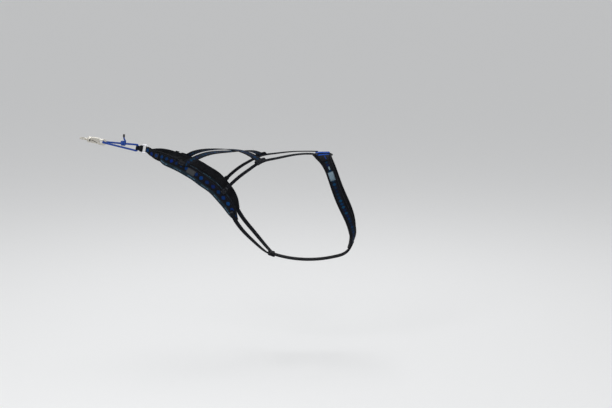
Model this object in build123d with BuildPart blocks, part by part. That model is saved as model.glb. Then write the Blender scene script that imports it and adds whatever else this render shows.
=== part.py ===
from build123d import *
from math import cos, radians, sin
import os

os.makedirs("parts", exist_ok=True)

# Sled dog harness in the shape in which it is worn, millimetres.
# X points forward, Y to the wearer's left, Z up. The origin is in the middle of the neck opening.

# thicknesses of the layers and the play between them
padThick = 3.5
webThick = 1.7
thinThick = 2.0
foilThick = 0.9
padRound = 1.2
seat = 0.25
crossSeat = 0.7
alongPlay = 0.45
foilPlay = 0.35
keeperPlay = 0.4
patchPlay = 0.95
endPlay = 0.25
lapPlay = 0.6
collarPlay = 0.6

# heights of the layers above the body, to the middle of each
padLift = padThick / 2
alongLift = padThick + alongPlay + webThick / 2
lowLift = padThick + crossSeat + webThick / 2
highLift = lowLift + webThick + crossSeat
keeperLift = lowLift + webThick / 2 + keeperPlay + thinThick / 2
patchLift = highLift + webThick / 2 + patchPlay + thinThick / 2
onCollarLift = padThick / 2 + collarPlay + webThick + crossSeat + webThick / 2
lapRise = webThick + lapPlay
lapFall = 0.6

# widths of the straps
sideBandWidth = 25.0
edgeStrapWidth = 10.0
edgeStrapLap = 3.0
backStrapWidth = 18.0
flankStrapWidth = 9.0
bellyStrapWidth = 12.0
breastStrapWidth = 30.0
collarTopWidth = 54.0
collarSideWidth = 25.0
collarWebTopWidth = 40.0
collarWebSideWidth = 15.0
collarEndWidth = 22.0
labelLength = 25.0
labelWidth = 15.0
tabWidth = 14.0
tabEndWidth = 9.0
patchWidth = 17.0
patchEndWidth = 8.0
flankKeeperWidth = 13.0
bellyKeeperWidth = 20.0
rearLoopWidth = 13.0

# places along the straps, from the rear or lower end of each
edgeStrapStart = 40.5
edgeStrapEndGap = 9.7
labelStart = 124.5
tabStart = 92.0
tabLength = 23.0
tabShift = 6.0
patchBefore = 17.0
patchAfter = 15.7
patchCorner = 7.0
keeperStart = 1.1
keeperLength = 14.6
reflectorStart = 3.1
reflectorLength = 24.7
rearLegLength = 38.8

# tug loop, tab and ring
tugTilt = 10.0
tugPivotX = -544.5
tugPivotZ = 139.6
cordRadius = 2.75
cordPlay = 0.3
tabBend = 1.2 * cordRadius
hookBend = 1.455 * cordRadius
strandPlay = 0.75
bightPlay = 0.55
bightDrop = 0.7
ringReach = 12.0
ringSpanX = 14.0
ringSpanZ = 22.0
ringWire = 1.5
ringCorner = 3.5
tabThick = 1.6
tabFrontWidth = 14.0
tabRearWidth = 10.5
loopLength = 98.3
knotDistance = 42.0
knotWraps = 3
wrapRadius = 2.0
wrapLap = 0.4
tailRadius = 2.5
tailTop = 16.0
tailTipTop = 23.0
tipRadius = 2.65
tipGap = 0.05
tipRound = 1.4

strandSpread = tabRearWidth + 2 * tabBend

# bolt snap, measured along the tug line from the middle of the hook's hole
hookThick = 5.0
hookLong = 26.0
hookHigh = 18.2
hookFront = 12.3
hookDrop = 0.4
hookRound = 8.4
holePlay = 2.1
holeLong = 13.0
holeHigh = 2 * cordRadius + holePlay
holeRound = 3.5
bightInHook = holeLong / 2 - cordRadius - bightPlay
bightSpread = hookThick / 2 + cordRadius + strandPlay
mouthLong = 11.7
mouthFront = 4.2
mouthHigh = 10.0
snapBodyRear = -31.0
snapBodyFront = -7.5
snapBodyHigh = 16.5
snapBodyRise = 0.55
snapBodyThick = 9.4
snapBodyRound = 3.0
snapEdgeRound = 1.6
boltRadius = 2.2
boltPlay = 0.25
boltTravel = 9.0
boltHeight = 5.0
boltFront = 3.7
boltLength = 20.7
boltRound = 0.9
boltEndWall = 1.0
knobRadius = 1.5
knobPlay = 0.3
knobForward = -13.5
knobCapRadius = 2.6
knobCapThick = 2.6
knobCapGap = 0.6
baseRadius = 8.2
baseMiddle = -34.9
windowLong = 7.0
windowHigh = 7.4
windowRound = 0.6
postRadius = 2.6
postPlay = 0.25
postHeadRadius = 3.2
postHeadThick = 2.0
postHeadPlay = 0.3
postInEye = 1.0
eyeMiddle = -53.0
eyeOuter = 9.0
eyeBore = 5.5
eyeThick = 4.4

# the wearer's body under the straps: half width, middle height and half height of each cross-section
bodyForm = [
    {"x": -512, "half": 6, "mid": 131, "high": 8},
    {"x": -490, "half": 25, "mid": 119, "high": 20},
    {"x": -467, "half": 45, "mid": 105, "high": 34},
    {"x": -435, "half": 66, "mid": 82, "high": 54},
    {"x": -400, "half": 84, "mid": 60, "high": 74},
    {"x": -350, "half": 95, "mid": 38, "high": 93},
    {"x": -300, "half": 99, "mid": 18, "high": 109},
    {"x": -250, "half": 101, "mid": 2, "high": 123},
    {"x": -200, "half": 104, "mid": -10, "high": 134},
    {"x": -150, "half": 107, "mid": -18, "high": 143},
    {"x": -100, "half": 104, "mid": -22, "high": 147},
    {"x": -50, "half": 96, "mid": -23, "high": 146},
    {"x": 0, "half": 88, "mid": -20, "high": 141},
]


def form_value(x, column):
    """Smooth value of one column of the body form at a place along the body."""
    rows = bodyForm
    last = len(rows) - 2
    at = 0
    while at < last and x > rows[at + 1]["x"]:
        at += 1

    def slope(k):
        before = rows[max(k - 1, 0)]
        after = rows[min(k + 1, len(rows) - 1)]
        return (after[column] - before[column]) / (after["x"] - before["x"])

    near = rows[at]
    far = rows[at + 1]
    span = far["x"] - near["x"]
    t = (x - near["x"]) / span
    value = near[column] * (2 * t**3 - 3 * t**2 + 1) + far[column] * (3 * t**2 - 2 * t**3)
    value += slope(at) * span * (t**3 - 2 * t**2 + t)
    value += slope(at + 1) * span * (t**3 - t**2)
    return value


def body_point(x, around):
    """Point on the body: around is 0 at the spine, 90 at the side and 180 under the belly."""
    turn = radians(around)
    y = form_value(x, "half") * sin(turn)
    z = form_value(x, "mid") + form_value(x, "high") * cos(turn)
    return Vector(x, y, z)


def body_face(x, around):
    """Outward direction of the body's surface."""
    along = body_point(x + 1, around) - body_point(x - 1, around)
    across = body_point(x, around + 1) - body_point(x, around - 1)
    return along.cross(across).normalized()


def worn_course(rows, sign):
    """Places and outward directions of a strap that lies on the body, on one side."""
    places = []
    faces = []
    for row in rows:
        face = body_face(row["x"], row["around"])
        place = body_point(row["x"], row["around"]) + face * row["lift"]
        places.append(Vector(place.X, place.Y * sign, place.Z))
        faces.append(Vector(face.X, face.Y * sign, face.Z))
    return {"line": Edge.make_spline(places), "places": places, "faces": faces}


def free_course(rows, sign):
    """Places and outward directions of a strap given by points; lean is the tilt of its width."""
    places = []
    widths = []
    for row in rows:
        places.append(Vector(row["x"], row["y"] * sign, row["z"]))
        widths.append(Vector(cos(radians(row["lean"])), 0, sin(radians(row["lean"]))))
    line = Edge.make_spline(places)
    faces = []
    for k, place in enumerate(places):
        run = line % line.param_at_point(place)
        face = run.cross(widths[k]).normalized()
        if sign > 0:
            face = face * -1
        faces.append(face)
    return {"line": line, "places": places, "faces": faces}


def marks(course):
    """Places along the course at which its rows lie."""
    line = course["line"]
    return [line.param_at_point(p) * line.length for p in course["places"]]


def station(course, along, lift, side):
    """Place, run and direction across a strap, at a place along its course."""
    line = course["line"]
    u = along / line.length
    place = line @ u
    run = (line % u).normalized()
    rowMarks = marks(course)
    k = 0
    while k < len(rowMarks) - 2 and along > rowMarks[k + 1]:
        k += 1
    share = (along - rowMarks[k]) / (rowMarks[k + 1] - rowMarks[k])
    face = course["faces"][k] * (1 - share) + course["faces"][k + 1] * share
    face = (face - run * face.dot(run)).normalized()
    across = face.cross(run).normalized()
    return place + face * lift + across * side, run, across


def ribbon(label, course, sections, thickness, lift=0.0, soft=0.0):
    """One strap: a loft through cross-sections at places along the course."""
    with BuildPart() as strap:
        for row in sections:
            rise = lift + row.get("rise", 0.0)
            place, run, across = station(course, row["along"], rise, row.get("side", 0.0))
            if row.get("square"):
                run = Vector(0, run.Y / abs(run.Y), 0)
                across = Vector(across.X, 0, across.Z).normalized()
            with BuildSketch(Plane(origin=place, x_dir=across, z_dir=run)):
                if soft:
                    RectangleRounded(row["width"], thickness, soft)
                else:
                    Rectangle(row["width"], thickness)
        loft()
    strap.part.label = label
    export_step(strap.part, f"parts/{label}.step")
    return strap


def evenly(start, end, count, width, side=0.0):
    """Sections of one width at even steps between two places along a course."""
    rows = []
    for k in range(count):
        along = start + (end - start) * k / (count - 1)
        rows.append({"along": along, "width": width, "side": side})
    return rows


# rows of the straps that lie on the body, right side: place along, angle round the body, height above it
sideRows = [
    {"x": -505, "around": 92, "lift": padLift},
    {"x": -489.5, "around": 80, "lift": padLift},
    {"x": -467.5, "around": 69, "lift": padLift},
    {"x": -445.5, "around": 65, "lift": padLift},
    {"x": -423.5, "around": 64, "lift": padLift},
    {"x": -401.5, "around": 66, "lift": padLift},
    {"x": -379.5, "around": 70, "lift": padLift},
    {"x": -357.5, "around": 76, "lift": padLift},
    {"x": -335.5, "around": 82, "lift": padLift},
    {"x": -313.5, "around": 91, "lift": padLift},
    {"x": -294, "around": 100, "lift": padLift},
    {"x": -283, "around": 107, "lift": padLift},
    {"x": -273.6, "around": 117, "lift": padLift},
]

backRows = {
    "right": [
        {"x": -412, "around": 61, "lift": lowLift + endPlay},
        {"x": -403, "around": 52, "lift": lowLift + endPlay},
        {"x": -380, "around": 36, "lift": lowLift},
        {"x": -344, "around": 19, "lift": lowLift},
        {"x": -305, "around": 8, "lift": lowLift},
        {"x": -264, "around": -4, "lift": lowLift},
        {"x": -235, "around": -17, "lift": highLift},
        {"x": -206, "around": -31, "lift": highLift},
    ],
    "left": [
        {"x": -412, "around": 61, "lift": lowLift + endPlay},
        {"x": -403, "around": 52, "lift": lowLift + endPlay},
        {"x": -380, "around": 36, "lift": lowLift},
        {"x": -344, "around": 19, "lift": lowLift},
        {"x": -305, "around": 8, "lift": highLift},
        {"x": -264, "around": -4, "lift": highLift},
        {"x": -235, "around": -17, "lift": highLift},
        {"x": -206, "around": -31, "lift": highLift},
    ],
}

flankRows = [
    {"x": -311, "around": 86, "lift": lowLift + endPlay},
    {"x": -286, "around": 69, "lift": lowLift},
    {"x": -256, "around": 53, "lift": lowLift},
    {"x": -236, "around": 44, "lift": lowLift},
    {"x": -206, "around": 31, "lift": lowLift},
    {"x": -168, "around": 24, "lift": lowLift},
    {"x": -132, "around": 18, "lift": lowLift},
    {"x": -100, "around": 13, "lift": lowLift},
    {"x": -50, "around": 13, "lift": onCollarLift},
]

bellyRows = [
    {"x": -286, "around": 104.5, "lift": lowLift},
    {"x": -273, "around": 117, "lift": lowLift},
    {"x": -256, "around": 127, "lift": lowLift},
    {"x": -226, "around": 140, "lift": lowLift},
    {"x": -197, "around": 155, "lift": lowLift + endPlay},
    {"x": -172, "around": 172, "lift": lowLift + endPlay},
]

# rows of the collar, right side: the crown row is the second, lean is the tilt of the strap's width
collarRows = [
    {"x": -36, "y": -22, "z": 119.5, "lean": 0},
    {"x": -37, "y": 0.15, "z": 121.5, "lean": 0},
    {"x": -36, "y": 22, "z": 119.5, "lean": 2},
    {"x": -28, "y": 47, "z": 108, "lean": 9},
    {"x": -17, "y": 67, "z": 85, "lean": 18},
    {"x": -6, "y": 79, "z": 54, "lean": 28},
    {"x": 6, "y": 84, "z": 20, "lean": 38},
    {"x": 20, "y": 82, "z": -13, "lean": 48},
    {"x": 34, "y": 73, "z": -44, "lean": 55},
    {"x": 44, "y": 57, "z": -77, "lean": 60},
    {"x": 46, "y": 36, "z": -106, "lean": 62},
    {"x": 41, "y": 16, "z": -125, "lean": 62},
    {"x": 38, "y": 0.15, "z": -130, "lean": 62},
    {"x": 41, "y": -16, "z": -125, "lean": 62},
]

# width of the collar pad at its rows: 2 is the top's width, 1 the side's and 0 the lower end's
collarTaper = [2, 1.72, 1.2, 1, 1, 1, 1, 1, 1, 0.67, 0.33, 0]

# how far round the withers each side's webbing starts on the other side
leftLapEnd = 7.7
rightLapEnd = 11.1

# rows of the breast strap, on the middle plane, from the collar down and back under the chest;
# the first ones are places on the collar, and the strap lies in front of them
breastRows = [
    {"x": 44.9, "z": -118.4},
    {"x": 39.4, "z": -130.4},
    {"x": 32.4, "z": -142.4},
    {"x": 19.9, "z": -153.4},
    {"x": 2},
    {"x": -50},
    {"x": -100},
    {"x": -140},
    {"x": -182},
]

for side, sign in (("right", -1), ("left", 1)):
    # side band along the flank
    sideCourse = worn_course(sideRows, sign)
    bandLength = sideCourse["line"].length
    bandSections = evenly(0, bandLength, 17, sideBandWidth)
    ribbon(f"side_band_{side}", sideCourse, bandSections, padThick, soft=padRound)

    # back strap from this side's band over the spine
    backCourse = worn_course(backRows[side], sign)
    backSections = evenly(0, backCourse["line"].length, 15, backStrapWidth)
    ribbon(f"back_strap_{side}", backCourse, backSections, webThick)

    # thin strap from the collar down to the side band, on top of the lapped webbing on the left
    lap = lapRise if sign > 0 else 0.0
    lastRow = {**flankRows[-1], "lift": onCollarLift + lap * lapFall}
    flankCourse = worn_course(flankRows[:-1] + [lastRow], sign)
    flankSections = evenly(0, flankCourse["line"].length, 19, flankStrapWidth)
    ribbon(f"flank_strap_{side}", flankCourse, flankSections, webThick)

    # reflective strap along the lower edge of the side band
    edgeShift = sign * (sideBandWidth / 2 + edgeStrapWidth / 2 - edgeStrapLap)
    edgeSections = evenly(edgeStrapStart, bandLength - edgeStrapEndGap, 14, edgeStrapWidth, edgeShift)
    ribbon(f"side_edge_strap_{side}", sideCourse, edgeSections, webThick, lift=alongLift - padLift)

    # plain grey label across the band
    labelLift = padThick / 2 + foilPlay + foilThick / 2
    labelSections = evenly(labelStart, labelStart + labelLength, 3, labelWidth, sign * 1.0)
    ribbon(f"side_label_{side}", sideCourse, labelSections, foilThick, lift=labelLift)

    # rounded dark tab over the rear end of the back strap
    tabSections = [
        {"along": tabStart, "width": tabEndWidth, "side": -sign * tabShift},
        {"along": tabStart + tabLength * 0.2, "width": tabWidth, "side": -sign * tabShift},
        {"along": tabStart + tabLength * 0.75, "width": tabWidth, "side": -sign * tabShift},
        {"along": tabStart + tabLength, "width": tabEndWidth, "side": -sign * tabShift},
    ]
    ribbon(f"back_strap_tab_{side}", sideCourse, tabSections, thinThick, lift=keeperLift - padLift)

    # patch over the meeting of back strap and flank strap
    meeting = marks(flankCourse)[4]
    patchSections = [
        {"along": meeting - patchBefore, "width": patchEndWidth},
        {"along": meeting - patchBefore + patchCorner, "width": patchWidth},
        {"along": meeting + patchAfter - patchCorner, "width": patchWidth},
        {"along": meeting + patchAfter, "width": patchEndWidth},
    ]
    patchName = f"back_strap_keeper_{side}"
    ribbon(patchName, flankCourse, patchSections, thinThick, lift=patchLift - lowLift)

    # small keeper over the lower end of the flank strap
    keeperSections = evenly(keeperStart, keeperStart + keeperLength, 3, flankKeeperWidth)
    keeperName = f"flank_strap_keeper_{side}"
    ribbon(keeperName, flankCourse, keeperSections, thinThick, lift=keeperLift - lowLift)

    # thin strap from the side band down under the belly
    bellyCourse = worn_course(bellyRows, sign)
    bellySections = evenly(0, bellyCourse["line"].length, 12, bellyStrapWidth)
    ribbon(f"belly_strap_{side}", bellyCourse, bellySections, webThick)

    # padded collar from the withers round the neck to the breast
    collarCourse = free_course(collarRows, sign)
    rowMarks = marks(collarCourse)
    padSections = []
    for along, share in zip(rowMarks[1:-1], collarTaper):
        width = collarEndWidth + (collarSideWidth - collarEndWidth) * share
        if share > 1:
            width = collarSideWidth + (collarTopWidth - collarSideWidth) * (share - 1)
        padSections.append({"along": along, "width": width})
    padSections[0]["square"] = True
    padSections[-1]["square"] = True
    ribbon(f"collar_pad_{side}", collarCourse, padSections, padThick, soft=padRound)

    # blue webbing on the collar, lapped over the withers
    webSpread = collarWebTopWidth - collarWebSideWidth
    webEnd = leftLapEnd if sign > 0 else rightLapEnd
    webSections = [
        {"along": webEnd, "width": collarWebTopWidth, "rise": lap},
        {"along": rowMarks[1], "width": collarWebTopWidth, "rise": lap},
        {"along": rowMarks[2], "width": collarWebSideWidth + webSpread * 0.84, "rise": lap * lapFall},
        {"along": rowMarks[3], "width": collarWebSideWidth + webSpread * 0.36},
    ]
    webSections += [{"along": along, "width": collarWebSideWidth} for along in rowMarks[4:-3]]
    webLift = padThick / 2 + collarPlay + webThick / 2
    ribbon(f"collar_webbing_{side}", collarCourse, webSections, webThick, lift=webLift)

    # pale reflective piece on the collar's webbing
    foilLift = webLift + webThick / 2 + foilPlay + foilThick / 2
    foilStart = rowMarks[4] + reflectorStart
    foilSections = evenly(foilStart, foilStart + reflectorLength, 3, collarWebSideWidth)
    ribbon(f"collar_reflector_{side}", collarCourse, foilSections, foilThick, lift=foilLift)

# breast strap between the forelegs
collarLean = collarRows[-1]["lean"]
collarFace = Vector(sin(radians(collarLean)), 0, -cos(radians(collarLean)))
breastPlaces = []
for row in breastRows:
    if "z" in row:
        breastPlaces.append(Vector(row["x"], 0, row["z"]) + collarFace * padThick)
    else:
        breastPlaces.append(body_point(row["x"], 180) - Vector(0, 0, padLift))
breastLine = Edge.make_spline(breastPlaces)
breastFaces = [(breastLine % breastLine.param_at_point(p)).cross(Vector(0, 1, 0)) for p in breastPlaces]
breastCourse = {"line": breastLine, "places": breastPlaces, "faces": breastFaces}
breastSections = evenly(0, breastLine.length, 10, breastStrapWidth)
ribbon("breast_strap", breastCourse, breastSections, padThick, soft=padRound)

# patch over the ends of both belly straps
crossRows = [
    {"x": -176, "around": 164, "lift": keeperLift},
    {"x": -176, "around": 180, "lift": keeperLift},
    {"x": -176, "around": 196, "lift": keeperLift},
]
crossCourse = worn_course(crossRows, 1)
crossSections = evenly(0, crossCourse["line"].length, 3, bellyKeeperWidth)
ribbon("belly_strap_keeper", crossCourse, crossSections, thinThick)

# frame of the tug line: forward along it, up from it, and sideways
forward = Vector(cos(radians(tugTilt)), 0, -sin(radians(tugTilt)))
upward = Vector(sin(radians(tugTilt)), 0, cos(radians(tugTilt)))
pivot = Vector(tugPivotX, 0, tugPivotZ)


def tug_place(ahead, left, up):
    """World place of a point given in the frame of the tug line."""
    return pivot + forward * ahead + Vector(0, left, 0) + upward * up


sidePlane = Plane(origin=pivot, x_dir=forward, z_dir=(0, -1, 0))
planPlane = Plane(origin=pivot, x_dir=forward, z_dir=upward)

# oval joining ring of round wire
ringLeft = ringReach
ringRight = ringReach + ringSpanX
with BuildPart() as joiningRing:
    with BuildLine(sidePlane) as ringPath:
        FilletPolyline(
            (ringLeft, ringSpanZ / 2),
            (ringRight, ringSpanZ / 2),
            (ringRight, -ringSpanZ / 2),
            (ringLeft, -ringSpanZ / 2),
            radius=ringCorner,
            close=True,
        )
    with BuildSketch(Plane(origin=ringPath.line @ 0, z_dir=ringPath.line % 0)):
        Circle(ringWire)
    sweep()
joiningRing.part.label = "joining_ring"
export_step(joiningRing.part, "parts/joining_ring.step")

# tug tab: webbing folded round the cord and round the ring, its two plies sewn together
cordHole = cordRadius + cordPlay
ringHole = ringWire + seat
with BuildPart() as tugTab:
    with BuildSketch(planPlane):
        Circle(cordHole + tabThick)
        with Locations((ringReach, 0)):
            Circle(ringHole + tabThick)
        make_hull()
        Circle(cordHole, mode=Mode.SUBTRACT)
        with Locations((ringReach, 0)):
            Circle(ringHole, mode=Mode.SUBTRACT)
    extrude(amount=tabFrontWidth / 2, both=True)
    with BuildSketch(sidePlane):
        with BuildLine():
            Polyline(
                (-8, tabRearWidth / 2),
                (3.5, tabRearWidth / 2),
                (8.5, tabFrontWidth / 2),
                (20, tabFrontWidth / 2),
                (20, -tabFrontWidth / 2),
                (8.5, -tabFrontWidth / 2),
                (3.5, -tabRearWidth / 2),
                (-8, -tabRearWidth / 2),
                close=True,
            )
        make_face()
    extrude(amount=12, both=True, mode=Mode.INTERSECT)
tugTab.part.label = "tug_tab"
export_step(tugTab.part, "parts/tug_tab.step")

# webbing round the front bar of the ring, its legs inside the two side bands
legLift = -(padThick / 2 + crossSeat + webThick / 2)
barRadius = ringHole + webThick / 2
bar = tug_place(ringRight, 0, 0)
legs = {}
for side, sign in (("right", -1), ("left", 1)):
    course = worn_course(sideRows, sign)
    legs[side] = []
    for step in (3, 2, 1, 0):
        place, run, across = station(course, rearLegLength * step / 3, legLift, 0.0)
        legs[side].append((place, run * sign, across * -sign))
with BuildPart() as rearLoop:
    around = []
    for turn in (-118, -149, -180, -211, -242):
        out = forward * cos(radians(turn)) + Vector(0, sin(radians(turn)), 0)
        run = forward * sin(radians(turn)) - Vector(0, cos(radians(turn)), 0)
        around.append((bar + out * barRadius, run, upward))
    for place, run, across in legs["right"] + around + legs["left"][::-1]:
        with BuildSketch(Plane(origin=place, x_dir=across, z_dir=run)):
            Rectangle(rearLoopWidth, webThick)
    loft(ruled=True)
rearLoop.part.label = "rear_loop_webbing"
export_step(rearLoop.part, "parts/rear_loop_webbing.step")

# tug loop cord: through the tab and the hook of the snap, its two ends meeting in the knot
bightAhead = bightInHook - loopLength
strandRun = (tug_place(bightAhead, bightSpread, -bightDrop) - tug_place(0, 0, strandSpread / 2)).normalized()
knotMiddle = tug_place(0, 0, strandSpread / 2) + strandRun * knotDistance
loopCorners = [
    knotMiddle - strandRun * seat / 2,
    tug_place(0, 0, strandSpread / 2),
    tug_place(0, 0, -strandSpread / 2),
    tug_place(bightAhead, -bightSpread, -bightDrop),
    tug_place(bightAhead, bightSpread, -bightDrop),
    knotMiddle + strandRun * seat / 2,
]
with BuildPart() as tugCord:
    with BuildLine() as cordPath:
        FilletPolyline(*loopCorners, radius=[tabBend, tabBend, hookBend, hookBend])
    with BuildSketch(Plane(origin=cordPath.line @ 0, z_dir=cordPath.line % 0)):
        Circle(cordRadius)
    sweep()
tugCord.part.label = "tug_loop_cord"
export_step(tugCord.part, "parts/tug_loop_cord.step")

# knot: turns of the cord round the upper strand, with the tail standing up from it
knotUp = (upward - strandRun * upward.dot(strandRun)).normalized()
wrapMiddle = cordRadius + seat + wrapRadius
wrapStep = 2 * wrapRadius - wrapLap
with BuildPart() as tugKnot:
    with BuildSketch(Plane(origin=knotMiddle, x_dir=strandRun, z_dir=strandRun.cross(knotUp))):
        for k in range(knotWraps):
            with Locations(((k - (knotWraps - 1) / 2) * wrapStep, wrapMiddle)):
                Circle(wrapRadius)
    revolve(axis=Axis(knotMiddle, strandRun))
    with BuildSketch(Plane(origin=knotMiddle + knotUp * wrapMiddle, z_dir=knotUp)):
        Circle(tailRadius)
    extrude(amount=tailTop - wrapMiddle)
tugKnot.part.label = "tug_loop_knot"
export_step(tugKnot.part, "parts/tug_loop_knot.step")

with BuildPart() as tailTip:
    with BuildSketch(Plane(origin=knotMiddle + knotUp * (tailTop + tipGap), z_dir=knotUp)):
        Circle(tipRadius)
    extrude(amount=tailTipTop - tailTop)
    fillet(tailTip.faces().sort_by(Axis(knotMiddle, knotUp))[-1].edges(), tipRound)
tailTip.part.label = "tug_loop_tail_tip"
export_step(tailTip.part, "parts/tug_loop_tail_tip.step")

# bolt snap: body with hook, slot and bearing of the swivel
snapMiddle = tug_place(-loopLength, 0, 0)
snapSide = Plane(origin=snapMiddle, x_dir=forward, z_dir=(0, -1, 0))
snapPlan = Plane(origin=snapMiddle, x_dir=forward, z_dir=upward)


def snap_cross(ahead, up):
    """Plane across the snap, looking forward along it."""
    return Plane(origin=snapMiddle + forward * ahead + upward * up, x_dir=(0, 1, 0), z_dir=forward)


with BuildPart() as snapBody:
    with BuildSketch(snapSide):
        with Locations(((snapBodyRear + snapBodyFront) / 2, snapBodyRise)):
            RectangleRounded(snapBodyFront - snapBodyRear, snapBodyHigh, snapBodyRound)
    extrude(amount=snapBodyThick / 2, both=True)
    fillet(snapBody.edges().filter_by(snapSide), snapEdgeRound)
    with BuildSketch(snapSide):
        with Locations((hookFront - hookLong / 2, -hookDrop)):
            RectangleRounded(hookLong, hookHigh, hookRound)
        RectangleRounded(holeLong, holeHigh, holeRound, mode=Mode.SUBTRACT)
        with Locations((mouthFront - mouthLong / 2, mouthHigh / 2)):
            Rectangle(mouthLong, mouthHigh, mode=Mode.SUBTRACT)
    extrude(amount=hookThick / 2, both=True)
    with Locations(Location(snapMiddle + forward * baseMiddle)):
        Sphere(baseRadius)
    # bore of the bolt
    with BuildSketch(snap_cross(snapBodyFront + boltEndWall, boltHeight)):
        Circle(boltRadius + boltPlay)
    extrude(amount=-(snapBodyFront - snapBodyRear - boltEndWall), mode=Mode.SUBTRACT)
    # slot of the thumb knob, on the left side
    with BuildSketch(snapSide):
        with Locations((knobForward - boltTravel / 2, boltHeight)):
            SlotOverall(boltTravel + 2 * knobRadius + 4 * knobPlay, 2 * knobRadius + 2 * knobPlay)
    extrude(amount=-snapBodyThick, mode=Mode.SUBTRACT)
    # window through the base, and the bearing of the swivel's post
    with BuildSketch(snapSide):
        with Locations((baseMiddle, 0)):
            RectangleRounded(windowLong, windowHigh, windowRound)
    extrude(amount=2 * baseRadius, both=True, mode=Mode.SUBTRACT)
    with BuildSketch(snap_cross(baseMiddle, 0)):
        Circle(postRadius + postPlay)
    extrude(amount=-2 * baseRadius, mode=Mode.SUBTRACT)
snapBody.part.label = "snap_body"
export_step(snapBody.part, "parts/snap_body.step")

# bolt with its thumb knob on the left side
with BuildPart() as snapBolt:
    with BuildSketch(snap_cross(boltFront, boltHeight)):
        Circle(boltRadius)
    extrude(amount=-boltLength)
    fillet(snapBolt.faces().sort_by(Axis(snapMiddle, forward))[-1].edges(), boltRound)
    with BuildSketch(snapSide):
        with Locations((knobForward, boltHeight)):
            Circle(knobRadius)
    extrude(amount=-snapBodyThick / 2 - knobCapThick)
    with BuildSketch(snapSide.offset(-snapBodyThick / 2 - knobCapGap)):
        with Locations((knobForward, boltHeight)):
            Circle(knobCapRadius)
    extrude(amount=-knobCapThick)
snapBolt.part.label = "snap_bolt"
export_step(snapBolt.part, "parts/snap_bolt.step")

# swivel eye: round eye, post and the head that holds it in the base
headFront = baseMiddle - windowLong / 2 + postHeadPlay + postHeadThick
with BuildPart() as swivelEye:
    with BuildSketch(snapPlan):
        with Locations((eyeMiddle, 0)):
            Circle(eyeOuter)
    extrude(amount=eyeThick / 2, both=True)
    with BuildSketch(snap_cross(headFront, 0)):
        Circle(postRadius)
    extrude(amount=eyeMiddle + eyeBore + postInEye - headFront)
    with BuildSketch(snap_cross(headFront, 0)):
        Circle(postHeadRadius)
    extrude(amount=-postHeadThick)
    with BuildSketch(snapPlan):
        with Locations((eyeMiddle, 0)):
            Circle(eyeBore)
    extrude(amount=eyeThick, both=True, mode=Mode.SUBTRACT)
swivelEye.part.label = "swivel_eye"
export_step(swivelEye.part, "parts/swivel_eye.step")
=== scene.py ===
from math import cos, pi, radians, sin

import bpy
import numpy as np
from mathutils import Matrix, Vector


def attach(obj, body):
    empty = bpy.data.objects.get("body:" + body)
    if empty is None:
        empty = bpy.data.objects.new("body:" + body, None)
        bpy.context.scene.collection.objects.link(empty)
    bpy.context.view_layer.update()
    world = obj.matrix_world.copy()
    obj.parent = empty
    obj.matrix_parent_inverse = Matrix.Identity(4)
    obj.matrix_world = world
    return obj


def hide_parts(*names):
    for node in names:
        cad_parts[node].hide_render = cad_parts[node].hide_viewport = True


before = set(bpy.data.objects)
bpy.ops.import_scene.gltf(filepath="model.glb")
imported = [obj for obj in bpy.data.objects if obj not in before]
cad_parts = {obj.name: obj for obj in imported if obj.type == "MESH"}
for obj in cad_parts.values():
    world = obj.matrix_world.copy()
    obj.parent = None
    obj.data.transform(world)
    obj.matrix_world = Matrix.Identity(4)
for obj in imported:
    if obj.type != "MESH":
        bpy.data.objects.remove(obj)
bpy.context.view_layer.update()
print("frame loaded,", len(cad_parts), "nodes")

# X forward, Y to the wearer's left, Z up, metres. Every strap is sewn flat and then worn on its course.

# thicknesses of the layers and the play between them
padThick = 0.0035
webThick = 0.0017
patchThick = 0.002
crossPlay = 0.0007
keeperPlay = 0.0004
patchPlay = 0.00095
tapePlay = 0.0006
threadRise = 0.0001

# heights above the body, to the middle of each layer
padLift = padThick / 2
lowLift = padThick + crossPlay + webThick / 2
highLift = lowLift + webThick + crossPlay
keeperLift = lowLift + webThick / 2 + keeperPlay + patchThick / 2
patchLift = highLift + webThick / 2 + patchPlay + patchThick / 2
onCollarLift = padThick / 2 + tapePlay + webThick + crossPlay + webThick / 2
endLift = lowLift + 0.00025
lapRise = webThick + 0.0006

# the body under the straps: place along, half width, middle height, half height
bodyForm = np.array([
    (-0.512, 0.006, 0.131, 0.008),
    (-0.490, 0.025, 0.119, 0.020),
    (-0.467, 0.045, 0.105, 0.034),
    (-0.435, 0.066, 0.082, 0.054),
    (-0.400, 0.084, 0.060, 0.074),
    (-0.350, 0.095, 0.038, 0.093),
    (-0.300, 0.099, 0.018, 0.109),
    (-0.250, 0.101, 0.002, 0.123),
    (-0.200, 0.104, -0.010, 0.134),
    (-0.150, 0.107, -0.018, 0.143),
    (-0.100, 0.104, -0.022, 0.147),
    (-0.050, 0.096, -0.023, 0.146),
    (0.000, 0.088, -0.020, 0.141),
])

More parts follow.
